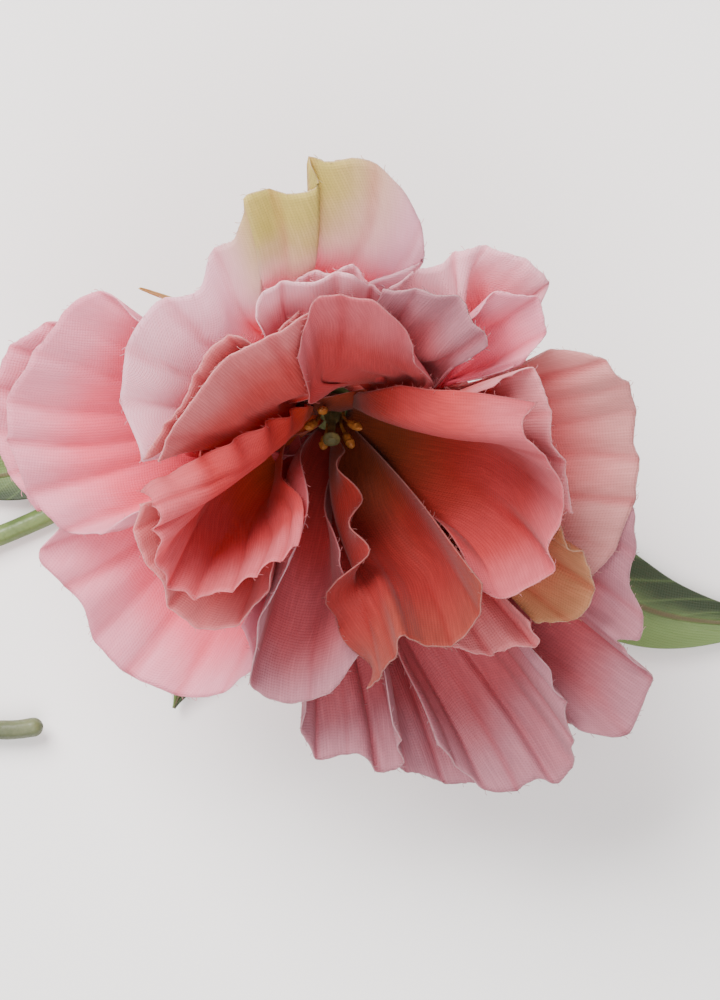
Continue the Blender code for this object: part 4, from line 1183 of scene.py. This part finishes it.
def leaf_cloth(name, dark, light):
    material, tree, shader, output = new_finish(name)
    place = add(tree, "ShaderNodeTexCoord").outputs["Object"]
    along, side = named(tree, "along"), named(tree, "side")
    patches = noise(tree, place, 70, 3)
    threads = weave_height(tree, add(tree, "ShaderNodeUVMap", uv_map=WARP_AND_WEFT).outputs[0])
    # Painted shade: the half of the blade that faces away from the lamp is darker, mixed with random patches
    # of tone.
    side_shade_and_patches = maths(tree, "MULTIPLY_ADD", side, -0.55, patches)
    colour = blend(tree, ramp(tree, side_shade_and_patches, 0.15, 0.85), dark, light)
    vein = vein_wave(tree, along, side, VEINS)
    colour = blend(tree, maths(tree, "MULTIPLY", vein, 0.35), colour, light)
    midrib = ramp(tree, maths(tree, "ABSOLUTE", side), 0.015, 0.10, 0.8, 0.0)
    colour = blend(tree, midrib, colour, dye(84, 66, 40))
    # Painted shade: the colour is darkened where the weave is low, in the hollows between threads.
    colour = blend(tree, ramp(tree, threads, 0.0, 0.7, 0.3, 0.0), colour, dark)
    bump = add(tree, "ShaderNodeBump", {"Height": threads, "Strength": 0.5, "Distance": 0.00012})
    put(tree, shader.inputs["Base Color"], colour)
    put(tree, shader.inputs["Normal"], bump.outputs[0])
    shader.inputs["Roughness"].default_value = 0.55
    through = add(tree, "ShaderNodeBsdfTranslucent", {"Color": colour})
    mixed = add(tree, "ShaderNodeMixShader", {0: 0.1, 1: shader.outputs[0], 2: through.outputs[0]})
    tree.links.new(mixed.outputs[0], output.inputs["Surface"])
    return material


def leaf_grid(leaf):
    """A pointed oval blade that folds up a little on both sides of its midrib."""
    spine = curve_through(leaf["course"], np.linspace(-1, 1, LEAF_ROWS + 1))
    side = np.cross((0, 0, 1), np.gradient(spine, axis=0))
    side /= np.linalg.norm(side, axis=1, keepdims=True)
    v = np.linspace(0, 1, LEAF_ROWS + 1)
    half = leaf["width"] / 2 * (0.12 + 0.88 * np.sin(math.pi * v ** 0.8) ** 0.8) * (1 - 0.9 * v ** 8)
    u = np.linspace(-1, 1, LEAF_COLS + 1)
    fold = math.radians(leaf["fold"])
    grid = spine[:, None, :] + side[:, None, :] * (u[None, :, None] * half[:, None, None] * math.cos(fold))
    grid[..., 2] += np.abs(u)[None, :] ** 1.4 * half[:, None] * math.sin(fold)
    return grid


def leaf_blank(name, leaf):
    grid = leaf_grid(leaf)
    _, over, down = edge_distance(grid)
    mesh = bpy.data.meshes.new(name)
    wide = LEAF_COLS + 1
    corners = [(r * wide + c, r * wide + c + 1, (r + 1) * wide + c + 1, (r + 1) * wide + c)
               for r in range(LEAF_ROWS) for c in range(LEAF_COLS)]
    mesh.from_pydata(on_table(grid).reshape(-1, 3), [], [face[::-1] for face in corners])
    side = np.broadcast_to(np.linspace(-1, 1, wide), over.shape)
    along = np.broadcast_to(np.linspace(0, 1, LEAF_ROWS + 1)[:, None], over.shape)
    for label, values in (("side", side), ("along", along)):
        mesh.attributes.new(label, "FLOAT", "POINT").data.foreach_set("value", values.ravel())
    threads = np.stack([over - over[:, -1:] / 2, down], -1).reshape(-1, 2)
    layer = mesh.uv_layers.new(name=WARP_AND_WEFT)
    layer.data.foreach_set("uv", threads[np.array([face[::-1] for face in corners]).ravel()].ravel())
    area = sum(face.area for face in mesh.polygons)
    return mesh, (over[:, -1].max() * MM, np.median(down[-1]) * MM), area


# %% [markdown]
# ## Pressing the leaves
# Each leaf is grown from its blank and thickened, and its cut size and area are printed.

# %% Press the leaves
VEINED = leaf_tree()
LEAF_CLOTH = leaf_cloth("cloth_leaf", dye(38, 54, 26), dye(106, 132, 72))
for name, leaf in LEAVES.items():
    mesh, cut, area = leaf_blank(name, leaf)
    blank = shown("blank", mesh)
    piece = grown(blank, VEINED, name + "_cloth", Ripple=0.5 * MM, Cloth=LEAF_CLOTH,
                  **{"Vein depth": 0.12 * MM, "Midrib depth": 0.25 * MM})
    bpy.data.objects.remove(blank)
    finished(thickened(piece, LEAF_THICKNESS), name)
    print(f"{name}: cut {cut[0] * 1000:.0f} x {cut[1] * 1000:.0f} mm, {area * 1e6:.0f} mm2")

# %% [markdown]
# ## The stage
# A plain pale table, one large soft lamp beyond the top of the bloom, and a weak fill.

# %% Table, lamps and camera
table_finish, tree, shader, _ = new_finish("pale_table")
shader.inputs["Base Color"].default_value = (0.92, 0.915, 0.91, 1)
shader.inputs["Roughness"].default_value = 0.85
table_mesh = bpy.data.meshes.new("table")
HALF = 2
corners = [(-HALF, -HALF, 0), (HALF, -HALF, 0), (HALF, HALF, 0), (-HALF, HALF, 0)]
table_mesh.from_pydata(corners, [], [(0, 1, 2, 3)])
table_mesh.materials.append(table_finish)
shown("table", table_mesh)


def lamp(name, place, aim, size, power, colour=(1, 1, 1)):
    data = bpy.data.lights.new(name, "AREA")
    data.size = size
    data.energy = power
    data.color = colour
    light = bpy.data.objects.new(name, data)
    light.location = place
    light.rotation_euler = (Vector(aim) - Vector(place)).to_track_quat("-Z", "Y").to_euler()
    bpy.context.scene.collection.objects.link(light)


HEAD = set_down((0, 0, 20))
lamp("window", (-0.5, 0.7, 0.95), HEAD, 0.8, 40, (1.0, 0.97, 0.95))
lamp("fill", (0.0, -0.5, 1.0), HEAD, 1.0, 12, (1.0, 0.96, 0.96))
world = bpy.data.worlds.new("room")
world.use_nodes = True
world.node_tree.nodes["Background"].inputs["Color"].default_value = (0.97, 0.95, 0.94, 1)
world.node_tree.nodes["Background"].inputs["Strength"].default_value = 0.7
bpy.context.scene.world = world

CAMERA_LENS = 133.2
CAMERA_PLACE = (0.0176, -0.0011, 0.558)
camera_data = bpy.data.cameras.new("camera")
camera_data.lens = CAMERA_LENS
camera_data.clip_end = 10
camera = bpy.data.objects.new("camera", camera_data)
camera.location = CAMERA_PLACE
bpy.context.scene.collection.objects.link(camera)
bpy.context.scene.camera = camera
